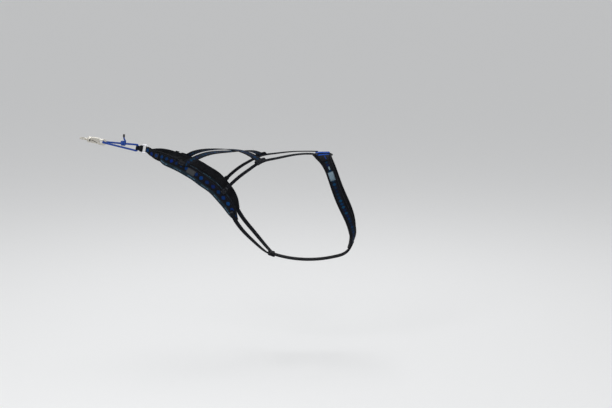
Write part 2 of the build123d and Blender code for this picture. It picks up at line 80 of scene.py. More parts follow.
# straps that lie on the body, right side: place along, angle round the body, height above it
sideRows = [(x, around, padLift) for x, around in (
    (-0.505, 92), (-0.4895, 80), (-0.4675, 69), (-0.4455, 65), (-0.4235, 64), (-0.4015, 66), (-0.3795, 70),
    (-0.3575, 76), (-0.3355, 82), (-0.3135, 91), (-0.294, 100), (-0.283, 107), (-0.2736, 117),
)]
backRows = [
    (-0.412, 61, endLift), (-0.403, 52, endLift), (-0.380, 36, lowLift), (-0.344, 19, lowLift),
    (-0.305, 8, lowLift), (-0.264, -4, lowLift), (-0.235, -17, highLift), (-0.206, -31, highLift),
]
flankRows = [
    (-0.311, 86, endLift), (-0.286, 69, lowLift), (-0.256, 53, lowLift), (-0.236, 44, lowLift),
    (-0.206, 31, lowLift), (-0.168, 24, lowLift), (-0.132, 18, lowLift), (-0.100, 13, lowLift),
    (-0.050, 13, onCollarLift),
]
bellyRows = [
    (-0.286, 104.5, lowLift), (-0.273, 117, lowLift), (-0.256, 127, lowLift), (-0.226, 140, lowLift),
    (-0.197, 155, endLift), (-0.172, 172, endLift),
]

# collar, right side: x, y, z and the tilt of the strap's width; the crown is the second row
collarRows = np.array([
    (-0.036, -0.022, 0.1195, 0), (-0.037, 0.00015, 0.1215, 0), (-0.036, 0.022, 0.1195, 2),
    (-0.028, 0.047, 0.108, 9), (-0.017, 0.067, 0.085, 18), (-0.006, 0.079, 0.054, 28),
    (0.006, 0.084, 0.020, 38), (0.020, 0.082, -0.013, 48), (0.034, 0.073, -0.044, 55),
    (0.044, 0.057, -0.077, 60), (0.046, 0.036, -0.106, 62), (0.041, 0.016, -0.125, 62),
    (0.038, 0.00015, -0.130, 62), (0.041, -0.016, -0.125, 62),
])

# breast strap on the middle plane: x and z where it lies in front of the collar, x under the body
breastFront = [(0.0449, -0.1184), (0.0394, -0.1304), (0.0324, -0.1424), (0.0199, -0.1534)]
breastUnder = [0.002, -0.050, -0.100, -0.140, -0.182]

# frame of the tug line: pivot in the tab, the line slopes down to the front
tugTilt = radians(10)
tugPivot = np.array((-0.5445, 0, 0.1396))
tugForward = np.array((cos(tugTilt), 0, -sin(tugTilt)))
tugUpward = np.array((sin(tugTilt), 0, cos(tugTilt)))
tugLeft = np.array((0, 1, 0))


def tugPlace(ahead, left, up):
    return tugPivot + tugForward * ahead + tugLeft * left + tugUpward * up


def tugOut(degrees):
    return tugForward * cos(radians(degrees)) + tugLeft * sin(radians(degrees))


# smooth line through points: the bend changes without a jump from point to point
def smoothSlopes(marks, values):
    count = len(marks)
    steps = np.diff(marks)
    grades = np.diff(values, axis=0) / steps[:, None]
    system = np.zeros((count, count))
    wanted = np.zeros_like(values)
    near = min(4, count)
    for end, rows in ((0, slice(0, near)), (count - 1, slice(count - near, count))):
        fit = np.polyfit(marks[rows] - marks[end], values[rows], near - 1)
        system[end, end] = 1
        wanted[end] = fit[-2]
    for k in range(1, count - 1):
        system[k, k - 1 : k + 2] = (steps[k], 2 * (steps[k - 1] + steps[k]), steps[k - 1])
        wanted[k] = 3 * (steps[k] * grades[k - 1] + steps[k - 1] * grades[k])
    return np.linalg.solve(system, wanted)


def curveValue(marks, values, slopes, at):
    k = np.clip(np.searchsorted(marks, at, side="right") - 1, 0, len(marks) - 2)
    span = marks[k + 1] - marks[k]
    t = ((at - marks[k]) / span)[:, None]
    span = span[:, None]
    value = values[k] * (2 * t**3 - 3 * t**2 + 1) + values[k + 1] * (3 * t**2 - 2 * t**3)
    return value + slopes[k] * span * (t**3 - 2 * t**2 + t) + slopes[k + 1] * span * (t**3 - t**2)


# a value that changes smoothly from mark to mark and never swings past one
def smoothAt(marks, values, along):
    marks = np.asarray(marks, float)
    values = np.asarray(values, float)
    grades = np.diff(values) / np.diff(marks)
    same = grades[:-1] * grades[1:] > 0
    slopes = np.zeros(len(marks))
    total = np.where(same, grades[:-1] + grades[1:], 1)
    slopes[1:-1] = np.where(same, 2 * grades[:-1] * grades[1:] / total, 0)
    along = np.clip(np.asarray(along, float), marks[0], marks[-1])
    return curveValue(marks, values[:, None], slopes[:, None], along)[:, 0]


def valueAt(value, along):
    return value(along) if callable(value) else value


def unit(directions):
    return directions / np.linalg.norm(directions, axis=-1, keepdims=True)


def squareTo(directions, runs):
    return unit(directions - runs * (directions * runs).sum(axis=-1, keepdims=True))


def between(marks, values, at):
    return np.stack([np.interp(at, marks, column) for column in np.transpose(values)], axis=1)


def marksOf(points):
    return np.concatenate([[0], np.cumsum(np.linalg.norm(np.diff(points, axis=0), axis=1))])


formX, formSizes = bodyForm[:, 0], bodyForm[:, 1:]
formSlopes = np.gradient(formSizes, formX, axis=0)
formSlopes[1:-1] = (formSizes[2:] - formSizes[:-2]) / (formX[2:] - formX[:-2])[:, None]


def bodyPoint(x, around):
    x = np.atleast_1d(np.asarray(x, float))
    turn = np.radians(np.atleast_1d(around))
    half, mid, high = curveValue(formX, formSizes, formSlopes, x).T
    return np.stack([x, half * np.sin(turn), mid + high * np.cos(turn)], axis=1)


def bodyFace(x, around):
    along = bodyPoint(x + 0.001, around) - bodyPoint(x - 0.001, around)
    across = bodyPoint(x, around + 1) - bodyPoint(x, around - 1)
    return unit(np.cross(along, across))


# places worked out on a course, and the length of a strap's steps
courseSteps = 800
strapStep = 0.0025


# a course: closely spaced places along a strap with its run, its outward side and its marks in metres
def courseOf(points, faces, sign):
    points = np.array(points, float)
    marks = marksOf(points)
    at = np.linspace(0, marks[-1], courseSteps)
    places = curveValue(marks, points, smoothSlopes(marks, points), at)
    length = marksOf(places)[-1]
    runs = unit(np.gradient(places, axis=0))
    return {
        "along": at * length / marks[-1],
        "places": places,
        "runs": runs,
        "faces": squareTo(between(marks, faces, at), runs),
        "length": length,
        "rowMarks": marks * length / marks[-1],
        "sign": sign,
    }


def wornCourse(rows, sign):
    x, around, lift = np.array(rows, float).T
    mirrored = np.array((1, sign, 1))
    faces = bodyFace(x, around)
    return courseOf((bodyPoint(x, around) + faces * lift[:, None]) * mirrored, faces * mirrored, sign)


def runsAt(course, points):
    return np.array([course["runs"][np.argmin(np.linalg.norm(course["places"] - p, axis=1))] for p in points])


def collarCourse(sign):
    points = collarRows[:, :3] * (1, sign, 1)
    lean = np.radians(collarRows[:, 3])
    widths = np.stack([np.cos(lean), lean * 0, np.sin(lean)], axis=1)
    runs = runsAt(courseOf(points, widths, sign), points)
    return courseOf(points, unit(np.cross(runs, widths)) * -sign, sign)


def vertexPlaces(piece):
    places = np.empty(len(piece.data.vertices) * 3)
    piece.data.vertices.foreach_get("co", places)
    return places.reshape(-1, 3)


def moveVertices(piece, places):
    piece.data.vertices.foreach_set("co", np.asarray(places).ravel())
    piece.data.update()


def onlySelect(piece):
    bpy.ops.object.select_all(action="DESELECT")
    piece.select_set(True)
    bpy.context.view_layer.objects.active = piece


def editAll():
    bpy.ops.object.mode_set(mode="EDIT")
    bpy.ops.mesh.select_all(action="SELECT")


def turnInsideOut(piece):
    onlySelect(piece)
    editAll()
    bpy.ops.mesh.flip_normals()
    bpy.ops.object.mode_set(mode="OBJECT")


# moves a flat piece onto its course: x runs along it, y across to its upper edge, z out from the body
def wear(piece, course, start=0.0, lift=0.0, side=0.0, taper=1.0, hug=0.0):
    flat = vertexPlaces(piece)
    along = np.clip(flat[:, 0] + start, 0, course["length"])
    over = flat[:, 0] + start - along
    across = flat[:, 1] * valueAt(taper, along) + valueAt(side, along)
    up = flat[:, 2] + lift - across**2 * hug / 2
    read = [between(course["along"], course[name], along) for name in ("places", "runs", "faces")]
    places, runs, faces = read
    runs = unit(runs)
    faces = squareTo(faces, runs)
    upper = np.cross(faces, runs) * -course["sign"]
    moveVertices(piece, places + runs * over[:, None] + upper * across[:, None] + faces * up[:, None])
    if course["sign"] > 0:
        turnInsideOut(piece)


def named(name):
    piece = bpy.context.object
    piece.name = name
    piece.data.name = name
    return piece


def applied(piece, kind, **settings):
    onlySelect(piece)
    bpy.ops.object.modifier_add(type=kind)
    modifier = piece.modifiers[-1]
    for key, value in settings.items():
        setattr(modifier, key, value)
    bpy.ops.object.modifier_apply(modifier=modifier.name)


def setMap(piece, flat):
    mesh = piece.data
    uvLayer = mesh.uv_layers[0] if mesh.uv_layers else mesh.uv_layers.new(name="UVMap")
    corner = np.empty(len(mesh.loops), int)
    mesh.loops.foreach_get("vertex_index", corner)
    uvLayer.data.foreach_set("uv", flat[corner].ravel())


# the pattern's map in metres: along the strap and across it, running on down its edges
def sewMap(piece, patternAt=None):
    x, y, z = vertexPlaces(piece).T
    along = x if patternAt is None else patternAt(x)
    setMap(piece, np.stack([along, y + np.sign(y) * (z.max() - z)], axis=1))


# a flat strip on z = 0, from x = 0, middle on y = 0
def flatStrip(name, long, wide, thick, steps, stepsAcross=6, rounding=0.3):
    bpy.ops.object.select_all(action="DESELECT")
    bpy.ops.mesh.primitive_grid_add(x_subdivisions=steps, y_subdivisions=stepsAcross, size=1)
    strip = named(name)
    editAll()
    bpy.ops.transform.resize(value=(long, wide, 1), center_override=(0, 0, 0))
    bpy.ops.transform.translate(value=(long / 2, 0, -thick / 2))
    bpy.ops.object.mode_set(mode="OBJECT")
    applied(strip, "SOLIDIFY", thickness=thick, offset=1)
    if rounding:
        rim = {"limit_method": "ANGLE", "angle_limit": radians(60)}
        applied(strip, "BEVEL", width=thick * rounding, segments=2, **rim)
    sewMap(strip)
    return strip


# a flat strip whose half width changes along it
def cutStrip(name, long, halfAt, thick, steps, stepsAcross=6, patternAt=None):
    widest = halfAt(np.linspace(0, long, 60)).max()
    strip = flatStrip(name, long, 2 * widest, thick, steps, stepsAcross)
    flat = vertexPlaces(strip)
    flat[:, 1] *= halfAt(flat[:, 0]) / widest
    moveVertices(strip, flat)
    sewMap(strip, patternAt)
    return strip


# an oval bead along x, closed at both ends: a binding tape or a cord
def rolledStrip(name, long, wide, thick, steps, around=12):
    bpy.ops.object.select_all(action="DESELECT")
    bpy.ops.mesh.primitive_grid_add(x_subdivisions=steps, y_subdivisions=around, size=1)
    bead = named(name)
    flat = vertexPlaces(bead)
    along = (flat[:, 0] + 0.5) * long
    turn = flat[:, 1] * 2 * pi
    girth = pi * (wide + thick) / 2
    setMap(bead, np.stack([along, (flat[:, 1] + 0.5) * girth], axis=1))
    moveVertices(bead, np.stack([along, np.cos(turn) * wide / 2, np.sin(turn) * thick / 2], axis=1))
    editAll()
    bpy.ops.mesh.remove_doubles(threshold=1e-6)
    bpy.ops.mesh.select_all(action="SELECT")
    bpy.ops.mesh.fill_holes(sides=0)
    bpy.ops.mesh.normals_make_consistent(inside=False)
    bpy.ops.object.mode_set(mode="OBJECT")
    return bead


# rounds the corners of a flat patch and lets its rim fall
def roundPatch(patch, look):
    corner, rimWide = look["corner"], 0.0025
    flat = vertexPlaces(patch)
    fromEnd = np.minimum(flat[:, 0], look["long"] - flat[:, 0])
    rounded = np.maximum(corner**2 - (corner - np.clip(fromEnd, 0, corner)) ** 2, 0)
    half = look["wide"] / 2 - corner + np.sqrt(rounded)
    flat[:, 1] *= half / (look["wide"] / 2)
    fromSide = half - np.abs(flat[:, 1])
    near = np.clip(1 - np.minimum(fromSide, fromEnd) / rimWide, 0, 1)
    flat[:, 2] -= look.get("rim", 0.0) * near**2
    moveVertices(patch, flat)
    sewMap(patch)


def dressed(piece, finish, angle=50):
    piece.data.materials.clear()
    piece.data.materials.append(finish)
    onlySelect(piece)
    bpy.ops.object.shade_smooth_by_angle(angle=radians(angle))
    return piece


def joined(pieces, finish):
    bpy.ops.object.select_all(action="DESELECT")
    for piece in pieces:
        piece.select_set(True)
    bpy.context.view_layer.objects.active = pieces[0]
    if len(pieces) > 1:
        bpy.ops.object.join()
    return dressed(pieces[0], finish)


def copied(piece, name):
    twin = piece.copy()
    twin.data = piece.data.copy()
    twin.name = name
    twin.data.name = name
    bpy.context.collection.objects.link(twin)
    return twin


def hung(piece, body="harness", nodes=()):
    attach(piece, body)
    if nodes:
        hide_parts(*nodes)


# how the pads' cloth is worked out: twenty times as large, because cloth this small hardly moves
padCloth = {
    "scale": 20,
    "pressure": 9,
    "frames": 20,
    "swell": 0.0011,  # metres that a point may move
    "seamDraw": 0.45,
    "seamWide": 0.0011,
    "edgeDraw": 0.25,
    "uneven": 0.00006,
    "sewnSeam": 0.0007,
    "sewnEdge": 0.0012,
    "seed": 7,
    "quality": 4,
    "tension": 6,
    "bending": 0.2,
    "shrink": -0.05,
}


# a quilted pad, sewn flat: its cloth swells beside the seams and stays flat under the webbing sewn on it
def quiltedPad(name, cut, thick, steps, stepsAcross):
    pad = flatStrip(name, cut["marks"][-1], 1, thick, steps, stepsAcross, rounding=0)
    flat = vertexPlaces(pad)
    edge = smoothAt(cut["marks"], cut["pad"], flat[:, 0])
    seam = smoothAt(cut["marks"], cut["web"], flat[:, 0]) - cut["seamIn"]
    flat[:, 1] *= 2 * edge
    moveVertices(pad, flat)
    sewMap(pad)
    fromSeam = np.abs(np.abs(flat[:, 1]) - seam)
    fromEdge = edge - np.abs(flat[:, 1])
    drawn = 1 - padCloth["seamDraw"] * np.exp(-((fromSeam / padCloth["seamWide"]) ** 2))
    drawn -= padCloth["edgeDraw"] * np.exp(-((fromEdge / padCloth["seamWide"]) ** 2))
    flat[:, 2] *= drawn
    flat[:, 2] += np.random.default_rng(padCloth["seed"]).normal(0, padCloth["uneven"], len(flat))
    moveVertices(pad, flat)
    sewn = (fromSeam < padCloth["sewnSeam"]) | (fromEdge < padCloth["sewnEdge"])
    sewn |= (flat[:, 2] > 0) & (np.abs(flat[:, 1]) < seam)
    group = pad.vertex_groups.new(name="sewn")
    group.add([int(k) for k in np.flatnonzero(sewn)], 1.0, "REPLACE")
    moveVertices(pad, flat * padCloth["scale"])
    onlySelect(pad)
    bpy.ops.object.modifier_add(type="CLOTH")
    cloth = pad.modifiers[-1]
    cloth.settings.vertex_group_mass = group.name
    cloth.settings.use_pressure = True
    cloth.settings.uniform_pressure_force = padCloth["pressure"]
    cloth.settings.effector_weights.gravity = 0
    cloth.settings.quality = padCloth["quality"]
    cloth.settings.tension_stiffness = padCloth["tension"]
    cloth.settings.bending_stiffness = padCloth["bending"]
    cloth.settings.shrink_min = padCloth["shrink"]
    cloth.point_cache.frame_start = 1
    cloth.point_cache.frame_end = padCloth["frames"]
    for step in range(1, padCloth["frames"] + 1):
        bpy.context.scene.frame_set(step)
    bpy.ops.object.modifier_apply(modifier=cloth.name)
    bpy.context.scene.frame_set(1)
    moved = vertexPlaces(pad) / padCloth["scale"] - flat
    distance = np.linalg.norm(moved, axis=1, keepdims=True)
    moveVertices(pad, flat + moved * np.minimum(1, padCloth["swell"] / np.maximum(distance, 1e-9)))
    pad.vertex_groups.clear()
    return pad


# stitches: each is a short bead whose ends dip into the cloth, repeated along the lines x0, y0, x1, y1
threadSize = {
    "long": 0.0025, "gap": 0.0008, "wide": 0.0008, "high": 0.0006, "dip": 0.00035,
    "narrow": 0.35, "tackStep": 0.0007,
}


def sewnLines(name, lines, finish, single=False):
    rows = []
    for x0, y0, x1, y1 in lines:
        reach = np.hypot(x1 - x0, y1 - y0)
        count = 1 if single else max(1, round(reach / (threadSize["long"] + threadSize["gap"])))
        pitch = reach / count
        long = pitch if single else pitch - threadSize["gap"]
        row = rolledStrip(name, long, threadSize["wide"], threadSize["high"], 4, 6)
        bead = vertexPlaces(row)
        share = np.abs(bead[:, 0] / long - 0.5) * 2
        bead[:, 2] -= threadSize["dip"] * share**3
        bead[:, 1:] *= (1 - threadSize["narrow"] * share**4)[:, None]
        moveVertices(row, bead)
        if count > 1:
            spread = {"use_constant_offset": True, "constant_offset_displace": (pitch, 0, 0)}
            applied(row, "ARRAY", count=count, use_relative_offset=False, **spread)
        x, y, z = vertexPlaces(row).T
        runX, runY = (x1 - x0) / reach, (y1 - y0) / reach
        moveVertices(row, np.stack([x0 + x * runX - y * runY, y0 + x * runY + y * runX, z], axis=1))
        rows.append(row)
    return joined(rows, finish)


# a bar tack: close zigzag stitches across a strap
def barTack(name, middle, wide, long, finish):
    count = max(3, round(long / threadSize["tackStep"]))
    step = long / count
    lines = []
    for k in range(count):
        x = middle - long / 2 + k * step
        flip = wide / 2 * (1 if k % 2 else -1)
        lines.append((x, -flip, x + step, flip))
    return sewnLines(name, lines, finish, single=True)


# lines of stitches on a patch: round it, along its four sides, or a box with a cross
def rimLines(x0, x1, half):
    return [(x0, -half, x1, -half), (x1, -half, x1, half), (x1, half, x0, half), (x0, half, x0, -half)]


def sideLines(x0, x1, half):
    return [(x0, -half, x1, -half), (x0, half, x1, half), (x0, -half, x0, half), (x1, -half, x1, half)]


def boxLines(x0, x1, half):
    return sideLines(x0, x1, half) + [(x0, -half, x1, half), (x0, half, x1, -half)]


# shader nodes: a number or colour goes into the socket, a socket is linked to it
def feed(tree, value, socket):
    if isinstance(value, bpy.types.NodeSocket):
        tree.links.new(value, socket)
    elif isinstance(value, (int, float)):
        socket.default_value = value
    else:
        socket.default_value = (*value, 1)


def calc(tree, operation, *values):
    node = tree.nodes.new("ShaderNodeMath")
    node.operation = operation
    for socket, value in zip(node.inputs, values):
        feed(tree, value, socket)
    return node.outputs[0]


def times(tree, first, second):
    return calc(tree, "MULTIPLY", first, second)


def mixColours(tree, share, first, second, most=None):
    node = tree.nodes.new("ShaderNodeMix")
    node.data_type = "RGBA"
    if most is not None:
        share = times(tree, share, most)
    for index, value in ((0, share), (6, first), (7, second)):
        feed(tree, value, node.inputs[index])
    return node.outputs[2]


def remap(tree, value, low, high, newLow=0.0, newHigh=1.0):
    node = tree.nodes.new("ShaderNodeMapRange")
    for socket, given in zip(node.inputs, (value, low, high, newLow, newHigh)):
        feed(tree, given, socket)
    return node.outputs[0]


def chanceOf(tree, value):
    node = tree.nodes.new("ShaderNodeTexWhiteNoise")
    node.noise_dimensions = "1D"
    tree.links.new(value, node.inputs["W"])
    return node.outputs["Value"]


def newGroup(name, inputs, outputs):
    group = bpy.data.node_groups.new(name, "ShaderNodeTree")
    group.interface.new_socket("Place", in_out="INPUT", socket_type="NodeSocketVector")
    for label, value in inputs.items():
        socket = group.interface.new_socket(label, in_out="INPUT", socket_type="NodeSocketFloat")
        socket.default_value = value
    for label in outputs:
        group.interface.new_socket(label, in_out="OUTPUT", socket_type="NodeSocketFloat")
    given = group.nodes.new("NodeGroupInput").outputs
    return group, given, group.nodes.new("NodeGroupOutput").inputs


def useGroup(tree, group, place, **values):
    node = tree.nodes.new("ShaderNodeGroup")
    node.node_tree = group
    tree.links.new(place, node.inputs["Place"])
    for key, value in values.items():
        node.inputs[key].default_value = value
    return node.outputs


def splitPlace(tree, place):
    node = tree.nodes.new("ShaderNodeSeparateXYZ")
    tree.links.new(place, node.inputs[0])
    return node.outputs[0], node.outputs[1]


# woven threads: warp threads run along the strap, each weft thread lifts every other one
def makeWovenThreads():
    group, given, result = newGroup("wovenThreads", {"Warp": 0.001, "Weft": 0.0014}, ["Height", "Shade"])
    along, across = splitPlace(group, given["Place"])
    column = calc(group, "DIVIDE", across, given["Warp"])
    columnIndex = calc(group, "FLOOR", column)
    odd = times(group, calc(group, "FLOORED_MODULO", columnIndex, 2.0), 0.5)
    pick = calc(group, "ADD", calc(group, "DIVIDE", along, given["Weft"]), odd)
    lifted = calc(group, "ABSOLUTE", calc(group, "SINE", times(group, pick, pi)))
    rounded = calc(group, "ABSOLUTE", calc(group, "SINE", times(group, column, pi)))
    height = times(group, calc(group, "POWER", rounded, 0.6), remap(group, lifted, 0, 1, 0.35, 1))
    both = group.nodes.new("ShaderNodeCombineXYZ")
    feed(group, columnIndex, both.inputs[0])
    feed(group, calc(group, "FLOOR", pick), both.inputs[1])
    chance = group.nodes.new("ShaderNodeTexWhiteNoise")
    feed(group, both.outputs[0], chance.inputs["Vector"])
    feed(group, height, result["Height"])
    feed(group, chance.outputs["Value"], result["Shade"])
    return group


# a row of lozenges woven into the middle of a strap, stepped from thread to thread
def makeLozengeRow():
    sizes = {"Pitch": 0.017, "Long": 0.012, "Wide": 0.011, "Thread": 0.0008}
    group, given, result = newGroup("lozengeRow", sizes, ["Mask", "Which", "Depth"])
    stepped = []
    for value in splitPlace(group, given["Place"]):
        step = calc(group, "FLOOR", calc(group, "DIVIDE", value, given["Thread"]))
        stepped.append(times(group, calc(group, "ADD", step, 0.5), given["Thread"]))
    turns = calc(group, "DIVIDE", stepped[0], given["Pitch"])
    which = calc(group, "FLOOR", turns)
    part = calc(group, "SUBTRACT", turns, which)
    endwise = times(group, calc(group, "ABSOLUTE", calc(group, "SUBTRACT", part, 0.5)), given["Pitch"])
    sidewise = calc(group, "ABSOLUTE", stepped[1])
    # between a circle and a diamond
    shares = []
    for value, size in ((endwise, given["Long"]), (sidewise, given["Wide"])):
        shares.append(calc(group, "POWER", calc(group, "DIVIDE", times(group, value, 2.0), size), 1.5))
    reach = calc(group, "ADD", shares[0], shares[1])
    feed(group, calc(group, "LESS_THAN", reach, 1.0), result["Mask"])
    feed(group, which, result["Which"])
    feed(group, reach, result["Depth"])
    return group


# spacer mesh: two sets of round holes, one between the other
def makeSpacerHoles():
    group, given, result = newGroup("spacerHoles", {"Pitch": 0.0026}, ["Hole", "Height"])
    along, across = splitPlace(group, given["Place"])
    nearest = []
    for shift in (0.0, 0.5):
        squares = []
        for value, stretch in ((along, 1.0), (across, 0.58)):
            turns = calc(group, "DIVIDE", value, times(group, given["Pitch"], stretch))
            part = calc(group, "FRACT", calc(group, "ADD", turns, shift))
            offMiddle = times(group, calc(group, "SUBTRACT", part, 0.5), stretch)
            squares.append(calc(group, "POWER", calc(group, "ABSOLUTE", offMiddle), 2.0))
        nearest.append(calc(group, "SQRT", calc(group, "ADD", *squares)))
    distance = calc(group, "MINIMUM", *nearest)
    feed(group, remap(group, distance, 0.17, 0.11), result["Hole"])
    feed(group, remap(group, distance, 0.08, 0.25), result["Height"])
    return group


# use on the trail: uneven fading, and dust that settles in patches
def makeTrailWear():
    group, given, result = newGroup("trailWear", {"Patch": 40.0, "Fine": 900.0}, ["Fade", "Dust"])
    for label, scale, low, high in (("Fade", "Patch", 0.35, 0.7), ("Dust", "Fine", 0.55, 0.8)):
        noise = group.nodes.new("ShaderNodeTexNoise")
        noise.inputs["Detail"].default_value = 4
        feed(group, given["Place"], noise.inputs["Vector"])
        feed(group, given[scale], noise.inputs["Scale"])
        feed(group, remap(group, noise.outputs[0], low, high), result[label])
    return group


wovenThreads = makeWovenThreads()
lozengeRow = makeLozengeRow()
spacerHoles = makeSpacerHoles()
trailWear = makeTrailWear()


def newFinish(name, roughness, sheen=0.0, metallic=0.0, shine=0.5, **wearSizes):
    finish = bpy.data.materials.new(name)
    finish.use_nodes = True
    tree = finish.node_tree
    shader = tree.nodes["Principled BSDF"].inputs
    shader["Roughness"].default_value = roughness
    shader["Metallic"].default_value = metallic
    shader["Specular IOR Level"].default_value = shine
    shader["Sheen Weight"].default_value = sheen
    shader["Sheen Roughness"].default_value = 0.4
    solid = tree.nodes.new("ShaderNodeTexCoord").outputs["Object"]
    return finish, tree, shader, useGroup(tree, trailWear, solid, **wearSizes)


def clothPlace(tree):
    return tree.nodes.new("ShaderNodeUVMap").outputs[0]


def raised(tree, shader, height, distance, strength=1.0):
    bump = tree.nodes.new("ShaderNodeBump")
    bump.inputs["Distance"].default_value = distance
    bump.inputs["Strength"].default_value = strength
    feed(tree, height, bump.inputs["Height"])
    feed(tree, bump.outputs[0], shader["Normal"])


# cloth takes little shine; a woven finish gives its tree, sockets, map, thread shades and wear
clothShine = 0.05


def wovenFinish(name, roughness, sheen, warp, weft, depth, **wearSizes):
    finish, tree, shader, wear = newFinish(name, roughness, sheen=sheen, shine=clothShine, **wearSizes)
    place = clothPlace(tree)
    threads = useGroup(tree, wovenThreads, place, Warp=warp, Weft=weft)
    raised(tree, shader, threads["Height"], depth)
    return finish, tree, shader, place, threads["Shade"], wear


black = (0.0025, 0.003, 0.0045)
blackLight = (0.008, 0.009, 0.013)

bandWebLook = {
    "dye": (0.002, 0.017, 0.17), "dyeLight": (0.002, 0.045, 0.16), "core": 0.5, "dim": 0.6,
    "lozenge": {"Pitch": 0.0182, "Long": 0.0112, "Wide": 0.0106},
    "warp": 0.00095, "weft": 0.0013, "fade": 0.25, "fadeTo": (0.007, 0.01, 0.017),
}
backWebLook = {
    "dye": (0.002, 0.009, 0.055), "dyeLight": (0.003, 0.055, 0.13), "core": 0.35, "dim": 0.75,
    "lozenge": {"Pitch": 0.0095, "Long": 0.0084, "Wide": 0.0098},
    "warp": 0.00095, "weft": 0.0013, "fade": 0.25, "fadeTo": (0.007, 0.011, 0.02),
}
blackWebLook = {"warp": 0.001, "weft": 0.0015, "fade": 0.3, "fadeTo": (0.011, 0.012, 0.015)}


# webbing with a woven ground and, where it has them, a row of lozenges
def webbingFinish(name, look):
    woven = wovenFinish(name, 0.68, 0.04, look["warp"], look["weft"], 0.00025)
    finish, tree, shader, place, shade, wear = woven
    ground = mixColours(tree, shade, black, blackLight)
    if "lozenge" in look:
        row = useGroup(tree, lozengeRow, place, **look["lozenge"])
        chance = chanceOf(tree, row["Which"])
        dyed = mixColours(tree, chance, look["dye"], look["dyeLight"])
        # some lozenges are faint, and the middle of each is a little lighter
        dyed = mixColours(tree, calc(tree, "FRACT", times(tree, chance, 7.3)), dyed, black, look["dim"])
        dyed = mixColours(tree, remap(tree, row["Depth"], 0.35, 0.0), dyed, look["dyeLight"], look["core"])
        dyed = mixColours(tree, shade, dyed, black, 0.3)
        ground = mixColours(tree, row["Mask"], ground, dyed)
    faded = mixColours(tree, wear["Fade"], ground, look["fadeTo"], look["fade"])
    feed(tree, mixColours(tree, wear["Dust"], faded, (0.35, 0.34, 0.32), 0.02), shader["Base Color"])
    return finish


crownLook = {
    "cloth": (0.002, 0.045, 0.3), "clothLight": (0.003, 0.08, 0.43), "worn": (0.003, 0.04, 0.24),
    "reach": 0.0235, "streak": (0.002, 0.03, 0.2),
    "streakFrom": 0.027, "streakTo": 0.045, "streakSide": 0.003, "streakWide": 0.0026,
}


# cloth over the withers: bright blue on the crown, black below it with a narrow blue streak
def makeCrownFinish(look):
    woven = wovenFinish("crownCloth", 0.7, 0.05, 0.0006, 0.0006, 0.0002, Patch=70.0)
    finish, tree, shader, place, shade, wear = woven
    along, across = splitPlace(tree, place)
    fromCrown = calc(tree, "ABSOLUTE", along)
    bright = mixColours(tree, shade, look["cloth"], look["clothLight"])
    bright = mixColours(tree, wear["Fade"], bright, look["worn"], 0.5)
    lane = calc(tree, "COMPARE", across, look["streakSide"], look["streakWide"] / 2)
    middle = (look["streakFrom"] + look["streakTo"]) / 2
    stretch = calc(tree, "COMPARE", fromCrown, middle, (look["streakTo"] - look["streakFrom"]) / 2)
    ply = mixColours(tree, shade, black, blackLight)
    ply = mixColours(tree, times(tree, lane, stretch), ply, look["streak"])
    onCrown = calc(tree, "LESS_THAN", fromCrown, look["reach"])
    feed(tree, mixColours(tree, onCrown, ply, bright), shader["Base Color"])
    return finish


# open black spacer mesh, as on the pads, its holes painted near black as painted shade
def makePadFinish():
    finish, tree, shader, wear = newFinish("padMesh", 0.8, sheen=0.06, shine=clothShine)
    holes = useGroup(tree, spacerHoles, clothPlace(tree))
    threads = mixColours(tree, wear["Fade"], (0.006, 0.0065, 0.008), (0.013, 0.014, 0.017))
    dusty = mixColours(tree, wear["Dust"], threads, (0.3, 0.29, 0.27), 0.03)
    # painted shade: the holes are coloured near black, darker than the threads
    feed(tree, mixColours(tree, holes["Hole"], dusty, (0.002, 0.002, 0.0025)), shader["Base Color"])
    raised(tree, shader, holes["Height"], 0.0005)
    return finish


reflectiveLook = {
    "repeat": 0.0465, "dashes": [(0.002, 0.015), (0.0195, 0.0075)], "wide": 0.0027,
    "silver": (0.06, 0.115, 0.165), "silverWorn": (0.025, 0.05, 0.075),
}


# dark woven tape with dashes that throw light back
def makeReflectiveFinish(look):
    woven = wovenFinish("reflectiveTape", 0.5, 0.05, 0.0008, 0.0012, 0.0002)
    finish, tree, shader, place, shade, wear = woven
    along, across = splitPlace(tree, place)
    turns = times(tree, calc(tree, "FRACT", calc(tree, "DIVIDE", along, look["repeat"])), look["repeat"])
    stripe = calc(tree, "LESS_THAN", calc(tree, "ABSOLUTE", across), look["wide"] / 2)
    dashes = [calc(tree, "COMPARE", turns, begin + long / 2, long / 2) for begin, long in look["dashes"]]
    bright = times(tree, stripe, calc(tree, "MAXIMUM", *dashes))
    cloth = mixColours(tree, shade, (0.006, 0.012, 0.018), (0.014, 0.028, 0.04))
    silver = mixColours(tree, wear["Fade"], look["silver"], look["silverWorn"])
    feed(tree, mixColours(tree, bright, cloth, silver), shader["Base Color"])
    feed(tree, remap(tree, bright, 0, 1, 0.6, 0.3), shader["Roughness"])
    return finish


# pale reflective film with a fine comb of cells
def makeFilmFinish():
    finish, tree, shader, wear = newFinish("reflectiveFilm", 0.32, metallic=0.25, Patch=120.0)
    cells = useGroup(tree, spacerHoles, clothPlace(tree), Pitch=0.0022)
    film = mixColours(tree, wear["Fade"], (0.075, 0.125, 0.165), (0.045, 0.08, 0.105))
    feed(tree, mixColours(tree, cells["Hole"], film, (0.1, 0.165, 0.21)), shader["Base Color"])
    raised(tree, shader, cells["Height"], 0.0001, 0.6)
    return finish


# grey woven patch, left plain
def makeLabelFinish():
    woven = wovenFinish("plainGreyPatch", 0.6, 0.1, 0.00045, 0.00045, 0.00015, Patch=150.0)
    finish, tree, shader, place, shade, wear = woven
    cloth = mixColours(tree, shade, (0.034, 0.037, 0.04), (0.052, 0.056, 0.06))
    feed(tree, mixColours(tree, wear["Fade"], cloth, (0.066, 0.068, 0.072), 0.4), shader["Base Color"])
    return finish


